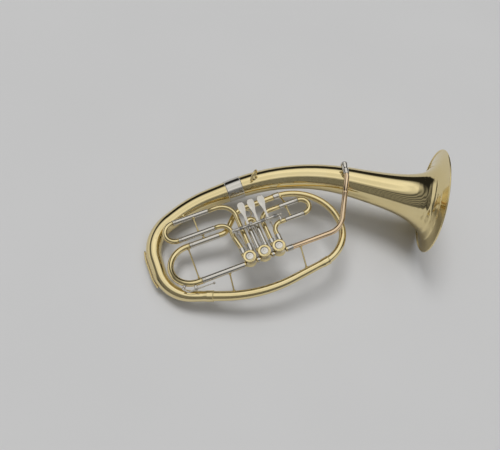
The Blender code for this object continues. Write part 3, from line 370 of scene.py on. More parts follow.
def oval_radius(s):
    """Outer radius of the conical tube at a distance behind the rim."""
    flare = BELL_R * (BELL_FLARE / (min(s, STEM_END) + BELL_FLARE)) ** BELL_POWER
    if s <= STEM_END:
        return flare
    return between([(STEM_END, flare), (0.735, 0.0140), (BOW_END, 0.0102),
                    (BOTTOM_END, 0.0078), (LOOP_END, 0.0065), (TIP_STEP, 0.0058),
                    (TIP_START, TIP_R), (OVAL_LENGTH, TIP_R)], s)


def oval(low, high, more=()):
    """Stations of the conical tube between two distances behind the rim."""
    spots = {low, high, *more}
    spots |= {m for m in OVAL_MARKS if low + NEAR_STEP < m < high - NEAR_STEP}
    steps = int((high - low) / FAR_STEP) + 1
    spots |= {low + (high - low) * i / steps for i in range(1, steps)}
    kept = []
    for s in sorted(spots):
        if not kept or s - kept[-1] > SAME_PLACE:
            kept.append(s)
    return [(point_at(OVAL, s), oval_radius(s)) for s in kept]


# The flare is steep at the rim, so its stations crowd there and spread out behind it.
flare_stations = [0.0002 * 1.22 ** i for i in range(28)]
bell = pipe(oval(0, STEM_END - GAP / 2, flare_stations), BELL_WALL, BELL_SIDES)
outer_faces = (len(bell.data.polygons) - 2 * BELL_SIDES) // 2
rim = wire_ring(BELL_R - BELL_WALL, RIM_WIRE_R, BELL_CENTRE - BELL_AXIS * 0.0002, -BELL_AXIS,
                BELL_SIDES)
bell = hand_over(fuse(bell, rim), "bell", "horn", "brass")

# Inside, the bell is only brushed. Its inner faces follow the outer ones in the mesh.
bell.data.materials.append(polished_metal(
    "satin_brass_inside", (0.84, 0.71, 0.41), (0.76, 0.61, 0.31), 0.30, 0.10))
for face in bell.data.polygons[outer_faces:2 * outer_faces]:
    face.material_index = 1


# Main bow, bottom branch, loop and upper branch
# Bent conical brass tubes. The main bow and the bottom branch each end in a widened socket
# with a rolled edge, which slips over the next tube and is soldered there.
JOINT_COVER = 0.006
LIP = 0.0016


def socketed(low, high):
    """Stations of a tube whose end widens into a socket with a rolled edge."""
    run = oval(low + GAP / 2, high + JOINT_COVER - GAP / 2,
               (high - JOINT_COVER, high - JOINT_COVER + 0.0008))
    marks = marks_of([p for p, _ in run])
    total = marks[-1]
    wide = 2 * GAP + WALL
    kept = []
    for (point, radius), mark in zip(run, marks):
        if mark < total - 2 * JOINT_COVER:
            kept.append((point, radius))
        elif mark < total - LIP:
            kept.append((point, radius + wide))
    tip, axis = run[-1][0], (run[-1][0] - run[-2][0]).normalized()
    for back, add in ((LIP, 0), (0.0014, 0.0003), (0.0010, 0.0005), (0.0006, 0.0005),
                      (0.0002, 0.0003), (0.0, 0.0)):
        kept.append((tip - axis * back, run[-1][1] + wide + add))
    return kept


last_run = oval(LOOP_END + GAP / 2, OVAL_LENGTH, (TIP_STEP, TIP_START))
for node, run, sides in (
        ("main_bow", socketed(STEM_END, BOW_END), 64),
        ("bottom_branch", socketed(BOW_END, BOTTOM_END), 48),
        ("right_loop", oval(BOTTOM_END + GAP / 2, LOOP_END - GAP / 2), 48),
        ("upper_branch", last_run, 48)):
    hand_over(pipe(run, WALL, sides), node, "horn", "brass")


# Ferrules
# Turned nickel silver sleeves that cover the joints of the stem and of the upper branch.
# Both have a rolled bead at each end and a plain polished face.
FINISHES["nickel_silver"] = polished_metal(
    "nickel_silver", (0.74, 0.71, 0.64), (0.65, 0.62, 0.55), 0.10, 0.1)
FERRULE_WALL = 0.0008
FERRULE_STAND = GAP + FERRULE_WALL


def beaded(low, high, bead):
    """Stations of a sleeve with a round bead at each end."""
    width = 2.4 * bead
    humps = [(i / 8, math.sin(math.pi * i / 8)) for i in range(9)]
    at = [low + t * width for t, _ in humps] + [high - t * width for t, _ in humps]
    swell = {round(s, 7): h * bead for s, (_, h) in zip(at, humps + humps)}
    run = []
    for s in sorted(set(at) | {low + (high - low) * i / 12 for i in range(1, 12)}):
        point = point_at(OVAL, s)
        run.append((point, oval_radius(s) + FERRULE_STAND + swell.get(round(s, 7), 0)))
    return run


for node, middle, half, bead, sides in (
        ("stem_ferrule", STEM_END, 0.0175, 0.0007, 72),
        ("branch_ferrule", LOOP_END, 0.007, 0.0005, 48)):
    ferrule = pipe(beaded(middle - half, middle + half, bead), FERRULE_WALL, sides)
    hand_over(ferrule, node, "horn", "nickel_silver")


# Guard of the bow
# A half-round brass wire that stands off the outside of the main bow on small posts and
# takes the knocks when the horn is put down.
GUARD_START, GUARD_LENGTH = 0.665, 0.080
GUARD_OFF, GUARD_R = 0.0028, 0.0018
GUARD_STEPS = 40
GUARD_POSTS = (0.670, 0.705, 0.740)


def outside(s, off):
    """Point beside the bow on its outer side, at a distance from its wall."""
    point = point_at(OVAL, s)
    ahead = point_at(OVAL, s + 0.001)
    out = (ahead - point).cross(UP).normalized()
    out = -out if out.x > 0 else out
    return point + out * (oval_radius(s) + off)


wire = [(outside(GUARD_START + GUARD_LENGTH * i / GUARD_STEPS, GUARD_OFF), GUARD_R)
        for i in range(GUARD_STEPS + 1)]
wire[0] = (wire[0][0], GUARD_R / 2)
wire[-1] = (wire[-1][0], GUARD_R / 2)
guard = pipe(wire, 0, 20)
post = ((-0.0003, 0.0024), (0.0004, 0.0020), (0.0020, 0.0014))
posts = [pipe([(outside(s, off), r) for off, r in post], 0, 16) for s in GUARD_POSTS]
hand_over(fuse(guard, *posts), "bow_guard", "horn", "brass")


# Valve casings
# Three brass cylinders with a heavy floor, each with short tubes brazed in for the main
# line and for its slide. A nickel silver bracket, screwed on under the floor, carries the
# two stops for the rotor's arm.
TURN = math.radians(90)
VALVE_PITCH = 0.031
VALVE_X = {1: VALVE_PITCH, 2: 0, 3: -VALVE_PITCH}
ROTOR_R = 0.0116
CASING_R = ROTOR_R + GAP + 0.0015
CASING_LOW = 0.0121
CASING_HIGH = 0.0345
PORT = ROTOR_R * math.sin(TURN / 2)
STUB_R = 0.0052
STUB_WALL = 0.0008
STUB_END = VALVE_PITCH / 2 - GAP / 2
BRACKET_T = 0.0012
BRACKET_OUT, BRACKET_IN = 0.0124, 0.0094

# How far from the valve's axis the bracket's screws and stops sit, and at which angles.
SCREWS = (0.0109, (150, 210))
STOPS = (0.0108, (69, 291))


def lathe(profile, sides, at, axis=UP):
    """Circle drawn up along a (radius, height) profile. A closed profile leaves a bore."""
    hollow = profile[0] == profile[-1]
    obj = fresh(bpy.ops.mesh.primitive_circle_add, vertices=sides, radius=profile[0][0],
                fill_type='NOTHING' if hollow else 'NGON')
    open_mesh()
    for (r0, z0), (r1, z1) in zip(profile, profile[1:]):
        bpy.ops.mesh.extrude_region_move(TRANSFORM_OT_translate={"value": (0, 0, z1 - z0)})
        bpy.ops.transform.resize(value=(r1 / r0, r1 / r0, 1), center_override=(0, 0, 0))
    close_mesh()
    turn = UP.rotation_difference(Vector(axis)).to_matrix().to_4x4()
    obj.matrix_world = Matrix.Translation(at) @ turn @ Matrix.Translation((0, 0, profile[0][1]))
    return settle(obj)


def round_edges(obj, width, segments=2, angle=30):
    """Small rounding on every sharp edge."""
    bevel = obj.modifiers.new("edges", 'BEVEL')
    bevel.width = width
    bevel.segments = segments
    bevel.limit_method = 'ANGLE'
    bevel.angle_limit = math.radians(angle)
    return apply_all(obj)


def plate(outline, thickness, low=0.0):
    """Flat shape with its outline in the horn's plane, extruded upwards."""
    obj = fresh(bpy.ops.mesh.primitive_circle_add, vertices=len(outline), radius=1,
                fill_type='NGON')
    for vertex, (x, y) in zip(obj.data.vertices, outline):
        vertex.co = (x, y, low)
    open_mesh()
    bpy.ops.mesh.extrude_region_move(TRANSFORM_OT_translate={"value": (0, 0, thickness)})
    close_mesh()
    return obj


def bow_of(centre, radius, start, end, steps):
    """Points of an arc in the horn's plane, angles in degrees."""
    turns = [math.radians(start + (end - start) * i / steps) for i in range(steps + 1)]
    return [(centre[0] + radius * math.cos(a), centre[1] + radius * math.sin(a)) for a in turns]


def straight(begin, end, radius):
    """Stations of a straight tube."""
    return [(Vector(begin), radius), (Vector(end), radius)]


# Profiles, with heights above the casing's low end.
height = CASING_HIGH - CASING_LOW
casing_profile = [
    (CASING_R - 0.0024, 0), (CASING_R - 0.0008, 0), (CASING_R, 0.0008), (CASING_R, 0.0030),
    (CASING_R - 0.0003, 0.0034), (CASING_R - 0.0003, height - 0.0030),
    (CASING_R, height - 0.0026), (CASING_R, height), (CASING_R - 0.0014, height),
    (CASING_R - 0.0014, 0.0022), (0.0026, 0.0022), (0.0026, 0), (CASING_R - 0.0024, 0)]
screw = [(0.0012, -0.0021), (0.0015, -0.0018), (0.0015, -0.0012)]
stop = [(0.0016, -0.0034), (0.0019, -0.0031), (0.0019, -0.0012)]
stub_lines = [(side * 0.0115, -PORT, side * STUB_END, -PORT) for side in (-1, 1)]
stub_lines += [(side * PORT, 0.0095, side * PORT, STUB_END) for side in (-1, 1)]

for number, x in VALVE_X.items():
    casing = lathe(casing_profile, 96, (x, 0, CASING_LOW))
    stubs = [pipe(straight((x + x0, y0, VALVE_Z), (x + x1, y1, VALVE_Z), STUB_R), STUB_WALL)
             for x0, y0, x1, y1 in stub_lines]
    hand_over(fuse(casing, *stubs), f"valve_casing_{number}", "horn", "brass")
    crescent = (bow_of((x, 0), BRACKET_OUT, 66, 294, 30)
                + bow_of((x, 0), BRACKET_IN, 294, 66, 30))
    bracket = round_edges(plate(crescent, BRACKET_T, CASING_LOW - 0.0013), 0.0002)
    heads = []
    for profile, (off, angles) in ((screw, SCREWS), (stop, STOPS)):
        for angle in angles:
            turn = math.radians(angle)
            spot = (x + off * math.cos(turn), off * math.sin(turn), CASING_LOW)
            heads.append(lathe(profile, 24, spot))
    hand_over(fuse(bracket, *heads), "", "horn", "nickel_silver", f"stop_bracket_{number}")


# Rotors
# Turned nickel silver plugs with two passages. On the spindle below the floor sits the
# stop arm, and the linkage rod's slotted eye rides on its crank pin.
ROTOR_LOW, ROTOR_HIGH = 0.0150, 0.0330
SPINDLE_R = 0.0022
CRANK_R = 0.009
ARM_LOW = CASING_LOW - 0.0032
ARM_T = 0.0024
HINGE_Z = 0.039
LINK_DROP = 0.0324
LEVER_SWING = 2 * math.asin(CRANK_R * math.sin(TURN / 2) / LINK_DROP)
LINK_Z = HINGE_Z - LINK_DROP * math.cos(LEVER_SWING / 2)
for number, x in VALVE_X.items():
    core = lathe([(SPINDLE_R, ROTOR_HIGH + 0.0004), (SPINDLE_R, ROTOR_HIGH),
                  (ROTOR_R, ROTOR_HIGH), (ROTOR_R, ROTOR_LOW), (SPINDLE_R, ROTOR_LOW),
                  (SPINDLE_R, ARM_LOW - 0.0003)], 64, (x, 0, 0))
    hub = lathe([(0.0040, 0), (0.0046, 0.0005), (0.0046, 0.0024), (0.0042, 0.0026)], 48,
                (x, 0, ARM_LOW))
    arm = plate(bow_of((0, 0), 0.0034, 90, 270, 10) + bow_of((CRANK_R, 0), 0.0022, -90, 90, 10),
                ARM_T)
    arm.matrix_world = Matrix.Translation((x, 0, ARM_LOW)) @ Matrix.Rotation(TURN / 2, 4, 'Z')
    round_edges(settle(arm), 0.0003)
    crank = PORT * CRANK_R / ROTOR_R
    pin = lathe([(0.0008, LINK_Z - 0.0015), (0.0012, LINK_Z - 0.0012), (0.0012, ARM_LOW + 0.001)],
                24, (x + crank, crank, 0))
    end_screw = lathe([(0.0016, -0.0009), (0.0019, -0.0006), (0.0019, 0)], 24, (x, 0, ARM_LOW))
    hand_over(fuse(core, hub, arm, pin, end_screw), f"rotor_{number}", f"rotor_{number}",
              "nickel_silver")


# Valve caps
# Brass screw caps with a milled edge. A nickel silver washer and a slotted screw close the
# hole over the upper spindle.
CAP_SIDES = 120
MILLED_FROM, MILLED_CUT = 0.0131, 0.983
CAP_LOW = CASING_HIGH + GAP
cap_profile = [(0.0030, 0.0001), (0.0134, 0.0001), (0.0136, 0.0003), (0.0136, 0.0015),
               (0.0133, 0.0019), (0.0126, 0.0024), (0.0114, 0.0025), (0.0104, 0.0021),
               (0.0090, 0.0021), (0.0086, 0.0016), (0.0030, 0.0016)]
washer_profile = [(0.0082, 0.0015), (0.0082, 0.0023), (0.0078, 0.0027), (0.0060, 0.0029),
                  (0.0036, 0.0031), (0.0034, 0.0028), (0.0028, 0.0028)]


def cut_out(obj, cutter):
    """Cut one shape out of another."""
    cut = obj.modifiers.new("slot", 'BOOLEAN')
    cut.operation, cut.solver, cut.object = 'DIFFERENCE', 'EXACT', cutter
    apply_all(obj)
    bpy.data.objects.remove(cutter)
    return obj


for number, x in VALVE_X.items():
    cap = lathe(cap_profile, CAP_SIDES, (x, 0, CAP_LOW))
    for vertex in cap.data.vertices:
        flat = Vector((vertex.co.x - x, vertex.co.y))
        groove = round(math.degrees(math.atan2(flat.y, flat.x)) / (360 / CAP_SIDES)) % 2
        if flat.length > MILLED_FROM and groove:
            vertex.co.x = x + flat.x * MILLED_CUT
            vertex.co.y = flat.y * MILLED_CUT
    hand_over(cap, f"valve_cap_{number}", "horn", "brass")
    washer = lathe(washer_profile, 56, (x, 0, CAP_LOW))
    head = lathe([(0.0028, 0.0027), (0.0028, 0.0031), (0.0020, 0.0033)], 32, (x, 0, CAP_LOW))
    slit = fresh(bpy.ops.mesh.primitive_cube_add, size=1, location=(x, 0, CAP_LOW + 0.0033))
    slit.scale = (0.007, 0.0006, 0.0008)
    slit.rotation_euler.z = 0.5 + number
    hand_over(fuse(washer, cut_out(head, slit)), "", "horn", "nickel_silver",
              f"cap_screw_{number}")


# Tubes between the valves
# Short nickel silver sleeves, swelled a little in the middle. Each one is soldered over
# the stubs of two neighbouring casings and stops just short of their walls.
SOCKET_R = STUB_R + GAP + WALL
WALL_MET_AT = 0.0032
half = VALVE_PITCH / 2 - math.sqrt(CASING_R ** 2 - WALL_MET_AT ** 2) - GAP
for number in (1, 2):
    middle = (VALVE_X[number] + VALVE_X[number + 1]) / 2
    run = [(Vector((middle + part * half, -PORT, VALVE_Z)), SOCKET_R + add)
           for part, add in ((-1, 0), (-0.5, 0.0002), (0.5, 0.0002), (1, 0))]
    hand_over(pipe(run, WALL), f"connecting_tube_{number}", "horn", "nickel_silver")


# Tubes of the first and third slides
# Bent brass tubes from the casings to the slide legs. A nickel silver sleeve covers the
# end that slips over the casing's stub.
VALVE_TUBE_R = 0.0051
SOCKET_START = CASING_R + 0.0010
STUB_COVER = STUB_END - SOCKET_START
LEG_R = 0.0054
LEG_COVER = 0.006
LEG_TUBE_R = LEG_R * math.cos(math.radians(18)) - WALL - 0.0001
SLIDE_3_HIGH_Y, SLIDE_3_LOW_Y = 0.137, 0.093
SLIDE_3_START, SLIDE_3_END = -0.074, -0.150
SLIDE_1_HIGH_Y, SLIDE_1_LOW_Y = 0.0885, 0.0545
SLIDE_1_START, SLIDE_1_END = 0.068, 0.108
FOIL = 0.0001
first, third = VALVE_X[1], VALVE_X[3]


def sleeve(node, points, covered, lip):
    """Bright sleeve over the first stretch of a tube, with a bead before its end."""
    stops = [(0, 0.0001), (covered - 0.0022, 0.0001), (covered - 0.0016, 0.0004),
             (covered - 0.0010, 0.0005), (covered - 0.0004, 0.0004), lip]
    run = [(point_at(points, s), SOCKET_R + add) for s, add in stops]
    hand_over(pipe(run, FOIL), "", "horn", "nickel_silver", node + "_sleeve")


def valve_tube(node, stub_x, leg_x, leg_y, bend_r, covered, detour=()):
    """Tube from a casing's stub into a slide leg, its first stretch covered by a sleeve."""
    turn_x = detour[-1][0] if detour else stub_x
    corners = [(stub_x, SOCKET_START), *detour, (turn_x, leg_y), (leg_x, leg_y)]
    points = route([(*corner, VALVE_Z) for corner in corners], [0.030] * len(detour) + [bend_r])
    total = marks_of(points)[-1]
    joint = total - LEG_COVER - GAP
    stops = [(0, SOCKET_R), (STUB_COVER + 0.004, SOCKET_R), (STUB_COVER + 0.0048, VALVE_TUBE_R),
             (joint - 0.0008, VALVE_TUBE_R), (joint, LEG_TUBE_R), (total, LEG_TUBE_R)]
    hand_over(pipe(stations(points, stops), WALL), node, "horn", "brass")
    sleeve(node, points, covered, (covered, -0.0002))


end_3, end_1 = SLIDE_3_START - LEG_COVER, SLIDE_1_START + LEG_COVER
lean = [(third - PORT, SOCKET_START + 0.016), (third - PORT - 0.005, SOCKET_START + 0.042)]
valve_tube("slide_3_tube_high", third + PORT, end_3, SLIDE_3_HIGH_Y, 0.034, 0.0170)
valve_tube("slide_3_tube_low", third - PORT, end_3, SLIDE_3_LOW_Y, 0.0225, 0.0125, lean)
valve_tube("slide_1_tube_high", first - PORT, end_1, SLIDE_1_HIGH_Y, 0.024, 0.0095)
valve_tube("slide_1_tube_low", first + PORT, end_1, SLIDE_1_LOW_Y, 0.018, 0.0140)


# Slide legs
# Drawn nickel silver tubes, soldered over the ends of the valve tubes. Each has a rolled
# double bead at the mouth where the bow slides in.
SLIDE_2_END = 0.069
TUNING_Y, TUNING_Z = 0.080, 0.012
TUNING_START, TUNING_END = -0.070, -0.133
TUNING_LEG_R = 0.0062
legs = {}


def leg(node, begin, end, radius=LEG_R, socket=0.0):
    """Straight leg from begin to its mouth at end."""
    begin, end = Vector(begin), Vector(end)
    length = (end - begin).length
    stops = [(0, radius)]
    if socket:
        stops = [(0, SOCKET_R), (socket, SOCKET_R), (socket + 0.0008, radius)]
    for back, add in ((0.0062, 0), (0.0058, 0.0004), (0.0052, 0.0004), (0.0048, 0),
                      (0.0030, 0), (0.0026, 0.0005), (0.0020, 0.0007), (0.0008, 0.0007),
                      (0.0002, 0.0005), (0, 0.0002)):
        stops.append((length - back, radius + add))
    hand_over(pipe(stations([begin, end], stops), WALL), node, "horn", "nickel_silver")
    legs[node] = straight(begin, end, radius)


for slide, begin, end, high_y, low_y in (
        (3, SLIDE_3_START, SLIDE_3_END, SLIDE_3_HIGH_Y, SLIDE_3_LOW_Y),
        (1, SLIDE_1_START, SLIDE_1_END, SLIDE_1_HIGH_Y, SLIDE_1_LOW_Y)):
    leg(f"slide_{slide}_leg_high", (begin, high_y, VALVE_Z), (end, high_y, VALVE_Z))
    leg(f"slide_{slide}_leg_low", (begin, low_y, VALVE_Z), (end, low_y, VALVE_Z))
for node, side in (("slide_2_leg_left", -1), ("slide_2_leg_right", 1)):
    leg(node, (side * PORT, SOCKET_START, VALVE_Z), (side * PORT, SLIDE_2_END, VALVE_Z),
        socket=STUB_COVER + 0.004)
leg("tuning_leg_low", (third - SOCKET_START, -PORT, VALVE_Z), (TUNING_END, -PORT, VALVE_Z),
    TUNING_LEG_R)
leg("tuning_leg_high", (TUNING_START, TUNING_Y, TUNING_Z), (TUNING_END, TUNING_Y, TUNING_Z),
    TUNING_LEG_R)


# Slide bows
# Bent brass bows with nickel silver inner tubes, which the player pulls out of the legs.
# The short middle one has a wire ring on top to pull it by.
TUNING_BOW_R = 0.0064
PULL_RING_R, PULL_RING_WIRE_R = 0.0087, 0.0008


def slide_bow(node, body, ends, out, run, insert, leg_r, bow_r, fittings=()):
    """Brass bow with its two bright inner tubes and what is soldered on it."""
    a, b = (Vector(end) for end in ends)
    half = (b - a).length / 2 - 0.0001
    depth = Vector(out) * (run + half)
    points = route([a, a + depth, b + depth, b], [half, half])
    total = marks_of(points)[-1]
    thin = leg_r - WALL - GAP
    stops = [(0, thin), (insert, thin)]
    for ahead, add in ((0.0003, 0.0), (0.0006, 0.0004), (0.0012, 0.0005), (0.0018, 0.0004),
                       (0.0022, 0.0)):
        stops.append((insert + ahead, bow_r + add))
    stops += [(total - s, r) for s, r in reversed(stops)]
    hand_over(fuse(pipe(stations(points, stops), WALL), *fittings), node, body, "brass")
    for tag, low, high in (("a", 0.0005, insert - 0.0002),
                           ("b", total - insert + 0.0002, total - 0.0005)):
        line = [(point_at(points, s), thin + 0.00008) for s in (low, high)]
        hand_over(pipe(line, FOIL), "", body, "nickel_silver", f"{node}_inner_{tag}")


slide_bow("slide_3_bow", "slide_3",
          [(-0.0883, SLIDE_3_HIGH_Y, VALVE_Z), (-0.0883, SLIDE_3_LOW_Y, VALVE_Z)],
          (-1, 0, 0), 0.063, 0.062, LEG_R, LEG_R)
slide_bow("slide_1_bow", "slide_1",
          [(0.0753, SLIDE_1_HIGH_Y, VALVE_Z), (0.0753, SLIDE_1_LOW_Y, VALVE_Z)],
          (1, 0, 0), 0.034, 0.033, LEG_R, LEG_R)
pull_ring = wire_ring(PULL_RING_R, PULL_RING_WIRE_R, (0, 0.0897 + PORT, VALVE_Z))
slide_bow("slide_2_bow", "slide_2", [(-PORT, 0.0243, VALVE_Z), (PORT, 0.0243, VALVE_Z)],
          (0, 1, 0), 0.0513, 0.045, LEG_R, LEG_R - 0.0002, [pull_ring])
slide_bow("tuning_bow", "tuning_slide",
          [(-0.0853, TUNING_Y, TUNING_Z), (-0.0853, -PORT, VALVE_Z)],
          (-1, 0, 0), 0.0557, 0.048, TUNING_LEG_R, TUNING_BOW_R)


# Leadpipe and receiver
# The leadpipe is red brass with a soldered ring, and a nickel silver sleeve on its valve
# end. The receiver is turned from nickel silver and tapers inside for the mouthpiece.
FINISHES["rose_brass"] = polished_metal(
    "rose_brass", (0.87, 0.67, 0.45), (0.78, 0.58, 0.36), 0.09, 0.15)
LEADPIPE_OUT = Vector((0.24, 0.966, 0.07)).normalized()
LEADPIPE_END = Vector((0.2245, 0.1045, 0.0467))
LEADPIPE_R = 0.0053
LEADPIPE_TURN_X = 0.163
PIPE_RING_FROM_END = 0.054
RECEIVER_COVER = 0.0098
lead = route([(first + SOCKET_START, -PORT, VALVE_Z), (LEADPIPE_TURN_X, -PORT, VALVE_Z),
              LEADPIPE_END - LEADPIPE_OUT * 0.0158, LEADPIPE_END], [0.042, 0.012])
total = marks_of(lead)[-1]
stops = [(0, SOCKET_R), (STUB_COVER + 0.0115, SOCKET_R), (STUB_COVER + 0.0128, LEADPIPE_R)]
for ahead, add in ((0, 0), (0.0006, 0.0005), (0.0012, 0.0006), (0.0040, 0.0006),
                   (0.0046, 0.0005), (0.0052, 0)):
    stops.append((total - PIPE_RING_FROM_END + ahead, LEADPIPE_R + add))
stops.append((total, LEADPIPE_R))
hand_over(pipe(stations(lead, stops), WALL, 40), "leadpipe", "horn", "rose_brass")
sleeve("leadpipe", lead, STUB_COVER + 0.0112, (STUB_COVER + 0.0113, 0.0001))
mouth = lathe([(0.0056, 0), (0.0056, 0.0101), (0.0047, 0.0106), (0.0051, 0.0264),
               (0.0055, 0.0267), (0.0064, 0.0267), (0.0068, 0.0261), (0.0068, 0.0225),
               (0.0063, 0.0219), (0.0063, 0.0120), (0.0066, 0.0114), (0.0066, 0.0100),
               (0.0063, 0.0094), (0.0063, 0.0008), (0.0060, 0), (0.0056, 0)], 56,
              LEADPIPE_END - LEADPIPE_OUT * RECEIVER_COVER, LEADPIPE_OUT)
hand_over(mouth, "receiver", "horn", "nickel_silver")


# Lever frame
# A nickel silver hinge rod with a turned knob. Its two posts are brazed on the tubes of
# the third and first valves.
HINGE = Vector((0, 0.063, HINGE_Z))
HINGE_ROD_R = 0.0016
ROD_LEFT, ROD_RIGHT = -0.0425, 0.0585
POST_FAR_Y = 0.0675


def block(low, high, rounding):
    """Block between two corners, with its edges rounded."""
    obj = fresh(bpy.ops.mesh.primitive_cube_add, size=1)
    obj.scale = [b - a for a, b in zip(low, high)]
    obj.location = [(a + b) / 2 for a, b in zip(low, high)]
    return round_edges(settle(obj), rounding, 3)


rod = pipe(straight((ROD_LEFT, *HINGE.yz), (ROD_RIGHT, *HINGE.yz), HINGE_ROD_R), 0, 24)
parts = [lathe([(0.0018, -0.0006), (0.0024, -0.0002), (0.0029, 0.0008), (0.0030, 0.0020),
                (0.0027, 0.0032), (0.0018, 0.0040), (0.0008, 0.0043)], 32,
               (ROD_RIGHT, *HINGE.yz), (1, 0, 0))]
top = VALVE_Z + VALVE_TUBE_R + GAP
for x0, x1, y0 in ((ROD_LEFT - 0.0022, ROD_LEFT + 0.0022, 0.0585),
                   (ROD_RIGHT - 0.0030, ROD_RIGHT - 0.0006, 0.0515)):
    parts.append(block((x0, y0, top), (x1, POST_FAR_Y, HINGE.z), 0.0005))
    half = (x1 - x0) / 2
    parts.append(lathe([(0.0026, -half), (0.0030, 0.0004 - half), (0.0030, half - 0.0004),
                        (0.0026, half)], 32, ((x0 + x1) / 2, *HINGE.yz), (1, 0, 0)))
hand_over(fuse(rod, *parts), "lever_frame", "horn", "nickel_silver")


# Levers
# Nickel silver touch plates with a slight hollow for the finger, each brazed to a tube
# that turns on the rod, with an arm reaching down to the linkage.
LEVER_REACH, LEVER_T = 0.052, 0.0015
LEVER_TIP_R, LEVER_NECK_R = 0.0073, 0.0024
LEVER_RISE = math.radians(3)
NECK_END, WIDENS_OVER = 0.34, 0.48
DISH, DISH_FROM = 0.0005, 0.026
LINK_SIDE = 0.0028
down = Vector((0, math.sin(LEVER_SWING / 2), -math.cos(LEVER_SWING / 2)))

# Along the rod: the middle of each lever's plate and of its arm, and its tube's two ends.
LEVERS = {1: (0.034, 0.0387, 0.0295, 0.0540), 2: (0.012, 0.0, -0.0035, 0.0275),
          3: (-0.009, -0.034, -0.0385, -0.0055)}


def touch_width(y):
    """Half width of the touch plate at a distance from the hinge."""
    tip = LEVER_TIP_R
    if y > LEVER_REACH - tip:
        return math.sqrt(max(tip ** 2 - (y - LEVER_REACH + tip) ** 2, (0.12 * tip) ** 2))
    t = min(1.0, max(0.0, (y / LEVER_REACH - NECK_END) / WIDENS_OVER))
    return LEVER_NECK_R + (tip - LEVER_NECK_R) * t * t * (3 - 2 * t)


for number, (touch_x, arm_x, low_x, high_x) in LEVERS.items():
    touch = fresh(bpy.ops.mesh.primitive_grid_add, x_subdivisions=10, y_subdivisions=48, size=1)
    for vertex in touch.data.vertices:
        t = vertex.co.y + 0.5
        y = 0.001 + (LEVER_REACH - 0.001) * (1 - (1 - t) ** 1.6)
        side = 2 * vertex.co.x
        dish = DISH * (1 - side ** 2) * min(1.0, max(0.0, (y - DISH_FROM) / 0.01))
        vertex.co = (side * touch_width(y), y, LEVER_T / 2 - dish)
    sheet = touch.modifiers.new("sheet", 'SOLIDIFY')
    sheet.thickness = LEVER_T
    sheet.offset = -1
    round_edges(touch, 0.0004, 3, 50)
    touch.matrix_world = (Matrix.Translation((touch_x, *HINGE.yz))
                          @ Matrix.Rotation(LEVER_SWING / 2 + LEVER_RISE, 4, 'X'))
    width = high_x - low_x
    tube = lathe([(0.0020, 0), (0.0030, 0), (0.0032, 0.0003), (0.0032, 0.0015),
                  (0.0029, 0.0019), (0.0029, width - 0.0019), (0.0032, width - 0.0015),
                  (0.0032, width - 0.0003), (0.0030, width), (0.0020, width), (0.0020, 0)], 40,
                 (low_x, *HINGE.yz), (1, 0, 0))
    hinge = Vector((arm_x, *HINGE.yz))
    end = hinge + down * LINK_DROP
    arm = pipe([(hinge + down * 0.0024, 0.0024), (hinge + down * 0.0040, 0.0019),
                (hinge + down * 0.020, 0.0014), (end - down * 0.0020, 0.0013), (end, 0.0013)],
               0, 20)
    boss = lathe([(0.0020, -0.0011), (0.0024, -0.0008), (0.0024, 0.0008), (0.0020, 0.0011)], 32,
                 end, (1, 0, 0))
    pin = lathe([(0.0011, 0), (0.0011, LINK_SIDE + 0.0011), (0.0017, LINK_SIDE + 0.0011),
                 (0.0017, LINK_SIDE + 0.0014), (0.0013, LINK_SIDE + 0.0017)], 24, end, (1, 0, 0))
    hand_over(fuse(settle(touch), tube, arm, boss, pin), f"lever_{number}", f"lever_{number}",
              "nickel_silver")


# Linkage rods
# Nickel silver rods with a turned eye on the lever's pin and a slotted eye that rides on
# the rotor's crank pin. The slot makes up for the crank pin's swing to the side.
LINK_R, LINK_THICK_R = 0.0010, 0.0013
EYE_T = 0.0018
crank_low, crank_high = CRANK_R * math.sqrt(0.5), CRANK_R


def stadium(centre, half, radius):
    """Outline with two round ends, long along the valves."""
    return (bow_of((centre.x + half, centre.y), radius, -90, 90, 10)
            + bow_of((centre.x - half, centre.y), radius, 90, 270, 10))


for number, x in VALVE_X.items():
    swing = LINK_DROP * math.sin(LEVER_SWING / 2)
    near = Vector((LEVERS[number][1] + LINK_SIDE, HINGE.y + swing, LINK_Z))
    slack = (crank_high - crank_low) / 2 + 0.0002
    far = Vector((x + (crank_high + crank_low) / 2, crank_low, LINK_Z))
    way = (far - near).normalized()
    length = (far - near).length
    rod = pipe([(near + way * s, r) for s, r in
                ((0.0020, LINK_R), (0.006, LINK_R), (0.0064, LINK_THICK_R),
                 (0.012, LINK_THICK_R), (0.0124, LINK_R), (length - 0.0030, LINK_R))], 0, 20)
    eye = lathe([(0.0014, -0.0010), (0.0023, -0.0010), (0.0025, -0.0008), (0.0025, 0.0008),
                 (0.0023, 0.0010), (0.0014, 0.0010), (0.0014, -0.0010)], 32, near, (1, 0, 0))
    slotted = plate(stadium(far, slack, 0.0032), EYE_T, LINK_Z - EYE_T / 2)
    cut_out(slotted, plate(stadium(far, slack, 0.0019), 0.0040, LINK_Z - 0.0020))
    round_edges(slotted, 0.0002)
    hand_over(fuse(rod, eye, slotted), f"link_{number}", f"link_{number}", "nickel_silver")


# Lever springs
# Hard steel wire wound round each hinge tube. One tail bears on the casing side, the other
# under the touch plate, and together they lift the lever again.
SPRING_TURNS, TURN_STEPS = 5, 20
SPRING_R, SPRING_PITCH = 0.00375, 0.0014
SPRING_WIRE_R = 0.00045


